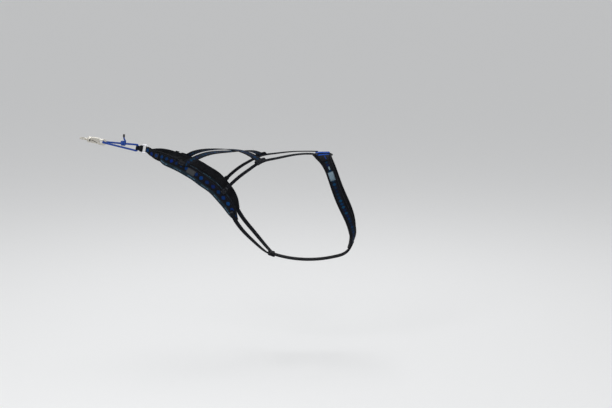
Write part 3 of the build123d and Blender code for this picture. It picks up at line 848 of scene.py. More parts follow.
# braided cord: the map's second direction counts the strands
def makeCordFinish():
    finish, tree, shader, wear = newFinish("braidedCord", 0.5, sheen=0.03, shine=0.3, Patch=90.0)
    across = splitPlace(tree, clothPlace(tree))[1]
    chance = chanceOf(tree, calc(tree, "FLOOR", across))
    dyed = mixColours(tree, chance, (0.006, 0.03, 0.24), (0.012, 0.075, 0.36))
    feed(tree, mixColours(tree, wear["Fade"], dyed, (0.02, 0.06, 0.2), 0.35), shader["Base Color"])
    raised(tree, shader, calc(tree, "ABSOLUTE", calc(tree, "SINE", times(tree, across, 18 * pi))), 0.00008)
    return finish


def makeThreadFinish(name, colour, lighter):
    finish, tree, shader, wear = newFinish(name, 0.5, sheen=0.08, shine=clothShine, Patch=300.0)
    feed(tree, mixColours(tree, wear["Fade"], colour, lighter), shader["Base Color"])
    return finish


def makeShrinkFinish():
    finish, tree, shader, wear = newFinish("shrinkSleeve", 0.38, Patch=250.0)
    rubbed = mixColours(tree, wear["Fade"], (0.004, 0.004, 0.005), (0.02, 0.02, 0.022))
    feed(tree, rubbed, shader["Base Color"])
    feed(tree, remap(tree, wear["Dust"], 0, 1, 0.32, 0.55), shader["Roughness"])
    return finish


# plated metal: polished, with scuffs and a duller skin in places
def makePlatedFinish(name, look):
    finish, tree, shader, wear = newFinish(name, 0.3, metallic=1.0, Patch=150.0, Fine=700.0)
    plate = mixColours(tree, wear["Fade"], look["bright"], look["dull"])
    feed(tree, mixColours(tree, wear["Dust"], plate, look["scuff"], 0.22), shader["Base Color"])
    feed(tree, remap(tree, wear["Fade"], 0, 1, *look["roughness"]), shader["Roughness"])
    raised(tree, shader, wear["Dust"], 0.00006, 0.2)
    return finish


snapLook = {
    "bright": (0.68, 0.655, 0.59), "dull": (0.46, 0.435, 0.385), "scuff": (0.35, 0.33, 0.3),
    "roughness": (0.2, 0.4),
}
ringLook = {
    "bright": (0.72, 0.72, 0.76), "dull": (0.55, 0.55, 0.59), "scuff": (0.42, 0.42, 0.45),
    "roughness": (0.22, 0.45),
}
bandWebFinish = webbingFinish("bandWebbing", bandWebLook)
backWebFinish = webbingFinish("backWebbing", backWebLook)
blackWebFinish = webbingFinish("blackWebbing", blackWebLook)
crownFinish = makeCrownFinish(crownLook)
padFinish = makePadFinish()
reflectiveFinish = makeReflectiveFinish(reflectiveLook)
filmFinish = makeFilmFinish()
labelFinish = makeLabelFinish()
cordFinish = makeCordFinish()
greyThread = makeThreadFinish("greyThread", (0.035, 0.037, 0.042), (0.075, 0.077, 0.085))
darkThread = makeThreadFinish("darkThread", (0.012, 0.013, 0.016), (0.022, 0.023, 0.028))
# near-black finish used as painted shade inside the snap's window and groove
recessShadeFinish = makeThreadFinish("paintedRecessShade", (0.006, 0.006, 0.007), (0.02, 0.019, 0.017))
sleeveFinish = makeShrinkFinish()
snapFinish = makePlatedFinish("nickelPlate", snapLook)
ringFinish = makePlatedFinish("paleRing", ringLook)
print("finishes made")


def wearing(look):
    return {key: look[key] for key in ("start", "lift", "side", "hug") if key in look}


# a webbing strap or tape, worn on a course
def sewnStrap(name, course, look, finish, nodes=()):
    long = look["long"]
    steps = (round(long / strapStep), look.get("across", 6))
    strap = flatStrip(name, long, look["wide"], look["thick"], *steps)
    wear(strap, course, **wearing(look))
    hung(dressed(strap, finish), nodes=nodes)


# a patch with rounded corners, sewn down with a rim or a box of stitches
def sewnPatch(name, stitches, node, course, look):
    patch = flatStrip(name, look["long"], look["wide"], look["thick"], *look["grid"])
    roundPatch(patch, look)
    wear(patch, course, **wearing(look))
    hung(dressed(patch, look["finish"]), nodes=[node])
    seamIn, half = look["seam"]
    tack = sewnLines(stitches, look["lines"](seamIn, look["long"] - seamIn, half), look["thread"])
    rise = look.get("seamRise", look["thick"] / 2)
    wear(tack, course, **{**wearing(look), "lift": look.get("lift", 0) + rise})
    hung(tack)


# two rows of stitches, one on each side of a strap's middle
def seamPair(name, course, x0, x1, half, lift, slot, middle=0.0, hug=0.0):
    rows = []
    for edge in (1, -1):
        row = sewnLines(name, [(0, 0, x1 - x0, 0)], darkThread)

        def side(along):
            return valueAt(middle, along) + edge * valueAt(half, along)

        wear(row, course, start=x0, lift=lift, side=side, hug=hug)
        rows.append(row)
    hung(joined(rows, darkThread))


def tackRow(name, course, middles, wide, long, lift):
    tacks = []
    for middle in middles:
        tack = barTack(name, middle, wide, long, greyThread)
        wear(tack, course, lift=lift)
        tacks.append(tack)
    hung(joined(tacks, greyThread))


def wornPad(pad, course, node, fill, **place):
    wear(pad, course, **place)
    hung(dressed(pad, padFinish), nodes=[node])


# binding tapes folded round both edges of a pad
def bindings(names, course, cut, start=0.0, hug=0.0):
    long = cut["marks"][-1]
    for edge, name in zip((1, -1), names):
        bead = rolledStrip(name, long, cut["bindWide"], cut["bindThick"], round(long / strapStep), 14)

        def side(along):
            rim = edge * (smoothAt(cut["marks"], cut["pad"], along - start) - cut["bindIn"])
            return rim + (smoothAt(cut["marks"], cut["shift"], along) if "shift" in cut else 0)

        wear(bead, course, start=start, side=side, hug=hug)
        hung(dressed(bead, blackWebFinish))


bodyHug = 1 / 0.11
padEdge = {"bindWide": 0.0044, "bindThick": 0.0037, "bindIn": 0.0018, "seamIn": 0.0008}
band = {
    **padEdge,
    "thick": 0.0026,
    "lift": -0.0003,
    "webThick": 0.0011,
    "webLift": 0.0015,
    "webStart": 0.008,
    "seamStart": 0.031,
    "seamEndGap": 0.003,
    "seamFromEdge": 0.0009,
    "steps": (162, 24),
    "fill": 0.45,
}

# cut of the side bands: half widths of pad and webbing, and how far they are drawn to the upper edge
bandCut = {
    "marks": [0.0, 0.014, 0.032, 0.170, 0.225, 0.270, 0.298, 0.323],
    "pad": [0.0082, 0.0110, 0.0125, 0.0125, 0.0122, 0.0114, 0.0094, 0.0060],
    "web": [0.0068, 0.0076, 0.0080, 0.0080, 0.0080, 0.0079, 0.0070, 0.0050],
    "shift": [0.0, 0.0, 0.0, 0.0, 0.0032, 0.0036, 0.0028, 0.0012],
}

# places along the band at which the woven row has come so many lozenges far
dotCount = {"at": [0.0, 0.171, 0.323], "count": [0.01, 10.5, 18.03]}

edgeStrap = {
    "start": 0.0405, "endGap": 0.0097, "wide": 0.010, "thick": 0.0014, "lift": 0.0030, "hug": bodyHug,
    "fromPadEdge": -0.002, "sweep": 0.024, "drawn": 0.0062, "seamIn": 0.003, "seamHalf": 0.0041,
}
label = {
    "start": 0.1258, "long": 0.025, "wide": 0.015, "thick": 0.0009, "lift": 0.00255, "side": -0.0022,
    "hug": bodyHug, "corner": 0.0014, "grid": (30, 18), "seam": (0.0014, 0.0061), "lines": rimLines,
    "finish": labelFinish, "thread": darkThread, "slot": "label_grey",
}
foldedLoop = {
    "start": 0.0745, "long": 0.0105, "wide": 0.0085, "thick": 0.0014, "rise": 0.0032, "lift": 0.0022,
    "side": 0.0112, "tackWide": 0.003, "tackLong": 0.007, "tackLift": 0.0028, "tackSide": 0.0066,
}
blackPatch = {
    "thick": 0.0018, "rim": 0.0012, "lines": boxLines,
    "finish": blackWebFinish, "thread": greyThread, "slot": "webbing_black",
}
endTab = {
    **blackPatch, "start": 0.092, "long": 0.023, "wide": 0.0142, "lift": 0.00555, "side": 0.006,
    "hug": bodyHug, "corner": 0.0055, "grid": (40, 20), "seam": (0.005, 0.0042),
}
backStrap = {"wide": 0.018, "thick": 0.0017, "across": 8, "hug": 3}
backSeam = {"start": 0.02, "endGap": 0.016, "half": 0.0079}
flankStrap = {"wide": 0.009, "thick": 0.0017}
flankTacks = {"wide": 0.0072, "long": 0.003, "rear": 0.0195, "beforeEnd": (0.0105, 0.0035)}
meetingPatch = {
    **blackPatch, "before": 0.017, "long": 0.0327, "wide": 0.017, "lift": patchLift - lowLift, "hug": 3,
    "corner": 0.005, "rim": 0.0015, "grid": (48, 22), "seam": (0.006, 0.0055),
}
flankPatch = {
    **blackPatch, "start": 0.0011, "long": 0.0146, "wide": 0.013, "lift": keeperLift - lowLift,
    "corner": 0.0018, "grid": (24, 18), "seam": (0.0025, 0.0045),
}
bellyStrap = {"wide": 0.012, "thick": 0.0017}
bellyTacks = {"wide": 0.0095, "long": 0.0035, "rear": 0.006, "beforeEnd": (0.007,)}


def bandValue(name, along):
    return smoothAt(bandCut["marks"], bandCut[name], along)


def bandShift(along):
    return bandValue("shift", along)


def dotsAt(along):
    return np.interp(along, dotCount["at"], dotCount["count"]) * bandWebLook["lozenge"]["Pitch"]


# the edge strap hangs under the pad's edge and sweeps in to the webbing at both ends
def edgeStrapSide(along):
    end = bandCut["marks"][-1] - edgeStrap["endGap"]
    rear = np.clip((edgeStrap["start"] + edgeStrap["sweep"] - along) / edgeStrap["sweep"], 0, 1) ** 2
    front = np.clip((along - end + edgeStrap["sweep"]) / edgeStrap["sweep"], 0, 1) ** 2
    drawn = (rear + front * 0.6) * edgeStrap["drawn"]
    return bandShift(along) - bandValue("pad", along) + edgeStrap["fromPadEdge"] + drawn


bandLong = wornCourse(sideRows, -1)["length"]
bandPad = {**band, **bandCut, "marks": bandCut["marks"][:-1] + [bandLong]}
spare = quiltedPad("sideBandSpare", bandPad, band["thick"], *band["steps"])
for side, sign in (("right", -1), ("left", 1)):
    sideCourse = wornCourse(sideRows, sign)
    pad = copied(spare, "sideBandPad_" + side)
    onBand = {"side": bandShift, "hug": bodyHug}
    wornPad(pad, sideCourse, "side_band_" + side, band["fill"], lift=band["lift"], **onBand)
    names = [f"sideBandBinding_{word}_{side}" for word in ("upper", "lower")]
    bindings(names, sideCourse, bandPad, hug=bodyHug)
    begin = band["webStart"]
    dotWeb = cutStrip(
        "sideBandWebbing_" + side,
        bandLong - begin,
        lambda along: bandValue("web", along + begin),
        band["webThick"],
        126,
        patternAt=lambda along: dotsAt(along + begin),
    )
    wear(dotWeb, sideCourse, start=begin, lift=band["webLift"], **onBand)
    hung(dressed(dotWeb, bandWebFinish))
    seamPair(
        "sideBandStitches_" + side,
        sideCourse,
        band["seamStart"],
        bandLong - band["seamEndGap"],
        lambda along: bandValue("web", along) - band["seamFromEdge"],
        band["webLift"] + band["webThick"] / 2 + threadRise,
        "padding_black",
        middle=bandShift,
        hug=bodyHug,
    )

    # reflective strap along the lower edge
    long = bandLong - edgeStrap["endGap"] - edgeStrap["start"]
    look = {**edgeStrap, "long": long, "side": edgeStrapSide}
    node = ["side_edge_strap_" + side]
    sewnStrap("sideEdgeTape_" + side, sideCourse, look, reflectiveFinish, node)
    seamPair(
        "sideEdgeStitches_" + side,
        sideCourse,
        edgeStrap["start"] + edgeStrap["seamIn"],
        edgeStrap["start"] + long - edgeStrap["seamIn"],
        edgeStrap["seamHalf"],
        edgeStrap["lift"] + edgeStrap["thick"] / 2 + threadRise,
        "reflective_tape",
        middle=edgeStrapSide,
        hug=bodyHug,
    )
    sewnPatch("sidePatch_" + side, "sidePatchStitches_" + side, "side_label_" + side, sideCourse, label)

    # small folded loop on the upper edge
    size = (foldedLoop["long"], foldedLoop["wide"], foldedLoop["thick"])
    fold = flatStrip("sideBandFold_" + side, *size, 24, 20)
    flat = vertexPlaces(fold)
    share = np.abs(flat[:, 1]) / (foldedLoop["wide"] / 2)
    flat[:, 2] += foldedLoop["rise"] * (np.sqrt(np.maximum(1 - share**2, 0)) - 0.5)
    moveVertices(fold, flat)
    onLoop = {"start": foldedLoop["start"], "hug": bodyHug}
    wear(fold, sideCourse, lift=foldedLoop["lift"], side=foldedLoop["side"], **onLoop)
    hung(dressed(fold, blackWebFinish))
    size = (foldedLoop["tackWide"], foldedLoop["tackLong"])
    tack = barTack("sideBandFoldStitches_" + side, foldedLoop["long"] / 2, *size, darkThread)
    wear(tack, sideCourse, lift=foldedLoop["tackLift"], side=foldedLoop["tackSide"], **onLoop)
    hung(tack)

    # back strap, its end under a rounded tab; the left one crosses over the right
    names = ("backStrapEndTab_" + side, "backStrapEndStitches_" + side, "back_strap_tab_" + side)
    sewnPatch(*names, sideCourse, endTab)
    rows = [list(row) for row in backRows]
    if sign > 0:
        rows[4][2] = rows[5][2] = highLift
    course = wornCourse(rows, sign)
    look = {**backStrap, "long": course["length"]}
    node = ["back_strap_" + side]
    sewnStrap("backStrapWebbing_" + side, course, look, backWebFinish, node)
    ends = (backSeam["start"], course["length"] - backSeam["endGap"])
    top = backStrap["thick"] / 2 + threadRise
    seamPair("backStrapStitches_" + side, course, *ends, backSeam["half"], top, "webbing_blue", hug=3)

    # flank strap with its tacks and patches
    lap = lapRise if sign > 0 else 0
    course = wornCourse(flankRows[:-1] + [(*flankRows[-1][:2], onCollarLift + lap * 0.6)], sign)
    look = {**flankStrap, "long": course["length"]}
    node = ["flank_strap_" + side]
    sewnStrap("flankStrapWebbing_" + side, course, look, blackWebFinish, node)
    middles = [flankTacks["rear"]] + [course["length"] - before for before in flankTacks["beforeEnd"]]
    top = flankStrap["thick"] / 2 + threadRise
    tackRow("flankStrapTacks_" + side, course, middles, flankTacks["wide"], flankTacks["long"], top)
    look = {**meetingPatch, "start": course["rowMarks"][4] - meetingPatch["before"]}
    names = ("backStrapMeetingPatch_" + side, "backStrapMeetingStitches_" + side, "back_strap_keeper_" + side)
    sewnPatch(*names, course, look)
    names = ("flankStrapPatch_" + side, "flankStrapStitches_" + side, "flank_strap_keeper_" + side)
    sewnPatch(*names, course, flankPatch)

    # belly strap
    course = wornCourse(bellyRows, sign)
    look = {**bellyStrap, "long": course["length"]}
    node = ["belly_strap_" + side]
    sewnStrap("bellyStrapWebbing_" + side, course, look, blackWebFinish, node)
    middles = [bellyTacks["rear"]] + [course["length"] - before for before in bellyTacks["beforeEnd"]]
    top = bellyStrap["thick"] / 2 + threadRise
    tackRow("bellyStrapTacks_" + side, course, middles, bellyTacks["wide"], bellyTacks["long"], top)
bpy.data.objects.remove(spare)
print("side bands, back straps, flank straps and belly straps sewn")

collar = {
    **padEdge,
    "thick": 0.0028,
    "lift": -0.0002,
    "hug": 2,
    "steps": (174, 40),
    "fill": 0.5,
    "pad": [0.027, 0.0229, 0.0154, 0.0125, 0.0125, 0.0125, 0.0125, 0.0125, 0.0125, 0.012, 0.0115, 0.011],
    "web": [0.020, 0.018, 0.012, 0.0075, 0.0075, 0.0075, 0.0075, 0.0075, 0.0075, 0.0075, 0.0075, 0.0075],
}
collarTape = {"wide": 0.015, "thick": 0.0012, "lift": 0.0023, "hug": 2, "endGap": 0.002}
tapeSeam = {"half": 0.0064, "endGap": 0.005, "lift": 0.003}
crown = {
    "half": [0.0200, 0.0200, 0.0175, 0.0092], "thick": 0.0015, "lap": 0.0023,
    "start": {-1: 0.0111, 1: 0.0077},
    "lift": padThick / 2 + tapePlay + webThick / 2 + 0.0004, "seamIn": 0.0016, "seamRise": 0.00085,
    "rimWide": 0.0034, "rimThick": 0.0024, "rimIn": 0.0012, "seamEnds": (0.003, 0.001),
}
reflector = {
    "after": 0.0031, "long": 0.0247, "wide": 0.015, "thick": 0.0009, "lift": 0.0034, "hug": 2,
    "corner": 0.0015, "grid": (30, 18), "seam": (0.0012, 0.0063), "lines": sideLines,
    "finish": filmFinish, "thread": darkThread, "slot": "reflective_tape",
}
streak = {"before": 0.0165, "long": 0.0095, "wide": 0.0042, "thick": 0.0007, "lift": 0.0032, "side": 0.001}

rowMarks = collarCourse(-1)["rowMarks"]
first = rowMarks[1]
collarPad = {**collar, "marks": [m - first for m in rowMarks[1:-1]]}
spare = quiltedPad("collarSpare", collarPad, collar["thick"], *collar["steps"])
for side, sign in (("right", -1), ("left", 1)):
    course = collarCourse(sign)
    pad = copied(spare, "collarPadding_" + side)
    onCollar = {"start": first, "lift": collar["lift"], "hug": collar["hug"]}
    wornPad(pad, course, "collar_pad_" + side, collar["fill"], **onCollar)
    names = [f"collarBinding_{word}_{side}" for word in ("front", "rear")]
    bindings(names, course, collarPad, first, collar["hug"])

    # jacquard tape down the side
    start, end = rowMarks[2], rowMarks[-3]
    look = {**collarTape, "start": start, "long": end - collarTape["endGap"] - start}
    sewnStrap("collarTape_" + side, course, look, backWebFinish)
    ends = (rowMarks[3], end - tapeSeam["endGap"])
    look = (tapeSeam["half"], tapeSeam["lift"], "webbing_blue")
    seamPair("collarStitches_" + side, course, *ends, *look, hug=collar["hug"])

    # bright cloth over the withers, the left one lapped over the right
    lap = crown["lap"] if sign > 0 else 0
    begin = crown["start"][sign]
    crownMarks = [0.0, first - begin, rowMarks[2] - begin, rowMarks[3] - begin]
    onCrown = {"start": begin, "hug": collar["hug"]}

    def raiseLap(piece):
        flat = vertexPlaces(piece)
        flat[:, 2] += np.interp(flat[:, 0], crownMarks[1:], [lap, lap * 0.6, 0])
        moveVertices(piece, flat)

    cloth = cutStrip(
        "collarCrown_" + side,
        crownMarks[-1],
        lambda along: np.interp(along, crownMarks, crown["half"]),
        crown["thick"],
        60,
        24,
        lambda along: along + begin - first,
    )
    raiseLap(cloth)
    wear(cloth, course, lift=crown["lift"], **onCrown)
    hung(dressed(cloth, crownFinish), nodes=["collar_webbing_" + side])
    lines = []
    for edge in (1, -1):
        inside = [(mark, edge * (half - crown["seamIn"])) for mark, half in zip(crownMarks, crown["half"])]
        lines.append((inside[0][0] + crown["seamEnds"][0], inside[0][1], *inside[1]))
        lines.append((*inside[1], *inside[2]))
        lines.append((*inside[2], inside[3][0] - crown["seamEnds"][1], inside[3][1]))
    seams = sewnLines("collarCrownStitches_" + side, lines, darkThread)
    raiseLap(seams)
    wear(seams, course, lift=crown["lift"] + crown["seamRise"], **onCrown)
    hung(seams)

    # black bead across the free end of the cloth
    half = crown["half"][0]
    rim = rolledStrip("collarCrownEndBead_" + side, 2 * half, crown["rimWide"], crown["rimThick"], 24, 12)
    x, y, z = vertexPlaces(rim).T
    moveVertices(rim, np.stack([crown["rimIn"] - y, x - half, z + lap], axis=1))
    wear(rim, course, lift=crown["lift"], **onCrown)
    hung(dressed(rim, blackWebFinish))

    # pale reflective piece, and a small one above it
    begin = rowMarks[4] + reflector["after"]
    names = ("collarReflector_" + side, "collarReflectorStitches_" + side, "collar_reflector_" + side)
    sewnPatch(*names, course, {**reflector, "start": begin})
    strip = flatStrip("collarStreak_" + side, streak["long"], streak["wide"], streak["thick"], 12, 6)
    wear(strip, course, **wearing({**streak, "start": begin - streak["before"], "hug": collar["hug"]}))
    hung(dressed(strip, filmFinish))
bpy.data.objects.remove(spare)

# band folded round the ends of the two pads under the crown cloth
crownJoin = {"long": 0.012, "wide": 0.0556, "thick": 0.0042}
wrap = flatStrip("collarCrownJoin", crownJoin["long"], crownJoin["wide"], crownJoin["thick"], 8, 40)
wear(wrap, collarCourse(-1), start=first - crownJoin["long"] / 2, lift=collar["lift"], hug=collar["hug"])
hung(dressed(wrap, blackWebFinish))
print("collar sewn")

# breast strap
breast = {
    "padHalf": 0.015, "webHalf": 0.0095, "collarLean": radians(62), "seamHalf": 0.0085,
    "seamEndGap": 0.003, "steps": (126, 28),
}
offCollar = np.array((sin(breast["collarLean"]), 0, -cos(breast["collarLean"]))) * padThick
places = [np.array((x, 0, z)) + offCollar for x, z in breastFront]
places += [bodyPoint(x, 180)[0] - np.array((0, 0, padLift)) for x in breastUnder]
down, leftward = np.tile((0.0, 0.0, -1.0), (len(places), 1)), np.tile((0.0, 1.0, 0.0), (len(places), 1))
runs = runsAt(courseOf(places, down, -1), places)
breastCourse = courseOf(places, unit(np.cross(runs, leftward)), -1)
breastLong = breastCourse["length"]
cut = {**band, "pad": [breast["padHalf"]] * 3, "web": [breast["webHalf"]] * 3}
cut["marks"] = [0, breastLong / 2, breastLong]
pad = quiltedPad("breastStrapPad", cut, band["thick"], *breast["steps"])
wornPad(pad, breastCourse, "breast_strap", band["fill"], lift=band["lift"])
bindings(["breastStrapBinding_right", "breastStrapBinding_left"], breastCourse, cut)
look = {"long": breastLong, "wide": 2 * breast["webHalf"], "thick": band["webThick"], "lift": band["webLift"]}
sewnStrap("breastStrapWebbing", breastCourse, look, bandWebFinish)
ends = (breast["seamEndGap"], breastLong - breast["seamEndGap"])
top = band["webLift"] + band["webThick"] / 2 + threadRise
seamPair("breastStrapStitches", breastCourse, *ends, breast["seamHalf"], top, "padding_black")
crossCourse = wornCourse([(-0.176, around, keeperLift) for around in (164, 180, 196)], 1)
bellyPatch = {
    **blackPatch, "long": crossCourse["length"], "wide": 0.020, "corner": 0.003, "grid": (40, 24),
    "seam": (0.004, 0.0072), "seamRise": 0.001,
}
sewnPatch("bellyStrapPatch", "bellyStrapPatchStitches", "belly_strap_keeper", crossCourse, bellyPatch)
print("breast strap sewn")


# a line through control points, as a smooth spline gives it
def splineLine(points, turns=24):
    curve = bpy.data.curves.new("lineGuide", "CURVE")
    curve.dimensions = "3D"
    curve.resolution_u = turns
    spline = curve.splines.new("NURBS")
    spline.points.add(len(points) - 1)
    for point, place in zip(spline.points, points):
        point.co = (*place, 1)
    spline.order_u = 3
    spline.use_endpoint_u = True
    guide = bpy.data.objects.new("lineGuide", curve)
    bpy.context.collection.objects.link(guide)
    bpy.context.view_layer.update()
    line = bpy.data.meshes.new_from_object(guide.evaluated_get(bpy.context.evaluated_depsgraph_get()))
    places = np.array([v.co for v in line.vertices])
    bpy.data.objects.remove(guide)
    return places


# a course for a round cord: the outward side is carried along the line without twist
def cordCourse(places, face):
    steps = np.linalg.norm(np.diff(places, axis=0), axis=1)
    places = places[np.concatenate([[True], steps > 1e-6])]
    runs = unit(np.gradient(places, axis=0))
    faces = []
    for run in runs:
        face = squareTo(face, run)
        faces.append(face)
    marks = marksOf(places)
    return {"along": marks, "places": places, "runs": runs, "faces": faces, "length": marks[-1], "sign": -1}


# webbing round the front bar of the joining ring, its legs sewn on to the side bands
rearLoop = {
    "wide": 0.0155, "thick": 0.0016, "bar": 0.026, "reach": 0.0026, "turns": (-118, -149, -180, -211, -242),
    "sewn": 0.016, "seamIn": 0.002, "seamFromEdge": 0.0018,
    "legAt": [0.031, 0.021, 0.011, 0.002], "legLift": [0.0029, 0.0029, 0.0028, 0.0020],
}
places, faces = [], []
for sign in (-1, 1):
    sideCourse = wornCourse(sideRows, sign)
    leg = np.searchsorted(sideCourse["along"], rearLoop["legAt"])
    legFaces = sideCourse["faces"][leg]
    legPlaces = sideCourse["places"][leg] + legFaces * np.array(rearLoop["legLift"])[:, None]
    places += list(legPlaces[::-sign])
    faces += list(legFaces[::-sign])
    if sign < 0:
        places += [tugPlace(rearLoop["bar"], 0, 0) + tugOut(t) * rearLoop["reach"] for t in rearLoop["turns"]]
        faces += [tugOut(t) for t in rearLoop["turns"]]
course = courseOf(places, faces, 1)
loopWeb = flatStrip("rearLoopWebbing", course["length"], rearLoop["wide"], rearLoop["thick"], 90)
wear(loopWeb, course)
hung(dressed(loopWeb, bandWebFinish), nodes=["rear_loop_webbing"])
tacks = []
for begin in (0, course["length"] - rearLoop["sewn"]):
    half = rearLoop["wide"] / 2 - rearLoop["seamFromEdge"]
    lines = boxLines(rearLoop["seamIn"], rearLoop["sewn"] - rearLoop["seamIn"], half)
    tack = sewnLines("rearLoopStitches", lines, greyThread)
    wear(tack, course, start=begin, lift=rearLoop["thick"] / 2 + threadRise)
    tacks.append(tack)
hung(joined(tacks, greyThread))

# tug tab: a strap folded round the cord and the ring, its plies sewn together between them
tugTab = {
    "cordHole": 0.00305, "ringHole": 0.00175, "thick": 0.0016, "reach": 0.012, "ply": 0.0064,
    "plyPlay": 0.0002,
    "rear": 0.0108, "front": 0.0172, "widens": [0.0025, 0.009],
    "seam": 0.0066, "seamHalf": 0.0058, "seamsAt": (-0.0015, 0.0015),
    "cordTurns": range(62, 300, 17), "ringTurns": range(-112, 114, 16),
}
half = tugTab["thick"] / 2
tabTurns = [(0, tugTab["cordHole"] + half, turn) for turn in tugTab["cordTurns"]]
tabTurns.append((tugTab["ply"], tugTab["plyPlay"] + half, 270))
tabTurns += [(tugTab["reach"], tugTab["ringHole"] + half, turn) for turn in tugTab["ringTurns"]]
tabTurns += [(tugTab["ply"], tugTab["plyPlay"] + half, 90), tabTurns[0]]
places = [tugPlace(ahead, 0, 0) + tugOut(turn) * reach for ahead, reach, turn in tabTurns]
tabCourse = courseOf(places, [tugOut(turn) for ahead, reach, turn in tabTurns], 1)
tabAhead = (tabCourse["places"] - tugPivot) @ tugForward
tabAside = tabCourse["places"] @ tugLeft


def tabWidth(along):
    ahead = np.interp(along, tabCourse["along"], tabAhead)
    return np.interp(ahead, tugTab["widens"], [tugTab["rear"], tugTab["front"]])


tab = flatStrip("tugTabWebbing", tabCourse["length"], 1, tugTab["thick"], 120, 8)
wear(tab, tabCourse, taper=tabWidth)
hung(dressed(tab, blackWebFinish), nodes=["tug_tab"])
tacks = []
for edge in (-1, 1):
    off = np.abs(tabAhead - tugTab["seam"]) + np.where(tabAside * edge > 0, 0, 1)
    middle = tabCourse["along"][np.argmin(off)]
    lines = [(x, -tugTab["seamHalf"], x, tugTab["seamHalf"]) for x in tugTab["seamsAt"]]
    tack = sewnLines("tugTabStitches", lines, greyThread)
    wear(tack, tabCourse, start=middle, lift=half + threadRise)
    tacks.append(tack)
hung(joined(tacks, greyThread))

# a cord braided from strands that run round both ways and pass over and under each other
cordBraid = {
    "strands": 8, "stride": 0.022, "wide": 0.00152, "thick": 0.0008, "wave": 0.00034, "step": 0.00046,
    "core": 0.0007, "coreStep": 0.001, "mapRim": 0.01,
}


def braidedCord(name, course, radius, node):
    long = course["length"]
    middle = radius - cordBraid["thick"] / 2 - cordBraid["wave"]
    spin = 2 * pi / cordBraid["stride"]
    girth = pi * (cordBraid["wide"] + cordBraid["thick"]) / 2
    count = cordBraid["strands"]
    strands = []
    for hand in (1, -1):
        for k in range(count):
            steps = round(long / cordBraid["step"])
            strand = rolledStrip(name, long, cordBraid["wide"], cordBraid["thick"], steps, 6)
            x, y, z = vertexPlaces(strand).T
            reach = middle + cordBraid["wave"] * hand * np.cos(count * spin * x) + z
            turn = 2 * pi * k / count + hand * spin * x + y / middle
            moveVertices(strand, np.stack([x, reach * np.cos(turn), reach * np.sin(turn)], axis=1))
            uvLayer = strand.data.uv_layers[0]
            uv = np.empty(len(strand.data.loops) * 2)
            uvLayer.data.foreach_get("uv", uv)
            rim = cordBraid["mapRim"]
            uv[1::2] = uv[1::2] / girth * (1 - 2 * rim) + rim + len(strands)
            uvLayer.data.foreach_set("uv", uv)
            strands.append(strand)
    core = 2 * (middle - cordBraid["core"])
    strands.append(rolledStrip(name, long, core, core, round(long / cordBraid["coreStep"]), 10))
    cord = joined(strands, cordFinish)
    wear(cord, course)
    hung(cord, "tug_loop", [node])


# tug loop: braided cord through the tab and the hook of the snap, knotted on its upper strand
tugLoop = {
    "radius": 0.00275, "tabTurn": 0.00855, "tabBend": 0.0058, "tabRun": 0.002,
    "hookAhead": -0.0951, "hookSide": 0.006, "hookDrop": 0.0007, "hookBend": 0.007, "hookRun": 0.001,
}
knot = {
    "at": 0.0405, "rise": 0.0008, "turns": 3.1, "radius": 0.0024, "middle": 0.0051, "step": 0.0039,
    "packed": 0.93, "points": 40, "tight": 0.0014, "tightRate": 6, "ends": 0.0005,
    "footUp": 0.004, "footSide": -0.0012, "footAhead": 0.001, "bendBack": 0.0018, "bendAt": 0.65,
    "tailTop": 0.0187, "tailLean": 0.05, "tailBack": 0.0015, "inSleeve": 0.0015,
}
r, bend = tugLoop["tabTurn"], tugLoop["tabBend"]
hookX, hookY, hookZ = tugLoop["hookAhead"], tugLoop["hookSide"], -tugLoop["hookDrop"]
upperTab, lowerTab = tugPlace(0, 0, r), tugPlace(0, 0, -r)
upperHook, lowerHook = tugPlace(hookX, hookY, hookZ), tugPlace(hookX, -hookY, hookZ)
upperRun = unit(upperHook - upperTab)
lowerRun = unit(lowerHook - lowerTab)
knotMiddle = upperTab + upperRun * knot["at"]
route = [
    knotMiddle - upperRun * knot["ends"],
    upperTab + upperRun * bend,
    upperTab,
    tugPlace(0, 0, tugLoop["tabRun"]),
    tugPlace(0, 0, -tugLoop["tabRun"]),
    lowerTab,
    lowerTab + lowerRun * bend,
    lowerHook - lowerRun * tugLoop["hookBend"],
    lowerHook,
    tugPlace(hookX, -tugLoop["hookRun"], hookZ),
    tugPlace(hookX, tugLoop["hookRun"], hookZ),
    upperHook,
    upperHook - upperRun * tugLoop["hookBend"],
    knotMiddle + upperRun * knot["ends"],
]
braidedCord("tugLoopBraid", cordCourse(splineLine(route), tugLeft), tugLoop["radius"], "tug_loop_cord")

knotUp = squareTo(tugUpward, upperRun)
knotSide = np.cross(upperRun, knotUp)
coil = []
for share in np.arange(knot["points"] + 1) / knot["points"]:
    turn = radians(90) + 2 * pi * knot["turns"] * (share - 1)
    along = (0.5 - share) * knot["step"] * knot["turns"] * knot["packed"]
    # pulled tight where the winding begins
    reach = knot["middle"] - knot["tight"] * max(0, 1 - share * knot["tightRate"]) ** 2
    around = (knotUp * sin(turn) + knotSide * cos(turn)) * reach + knotUp * knot["rise"]
    coil.append(knotMiddle + upperRun * along + around)
lean = unit(knotUp + upperRun * knot["tailLean"])
foot = lean * knot["footUp"] + knotSide * knot["footSide"] + upperRun * knot["footAhead"]
coil.append(coil[-1] + foot)
coil.append(knotMiddle - upperRun * knot["bendBack"] + lean * knot["tailTop"] * knot["bendAt"])
coil.append(knotMiddle - upperRun * knot["tailBack"] + lean * (knot["tailTop"] + knot["inSleeve"]))
braidedCord("tugLoopKnotBraid", cordCourse(splineLine(coil, 6), knotSide), knot["radius"], "tug_loop_knot")

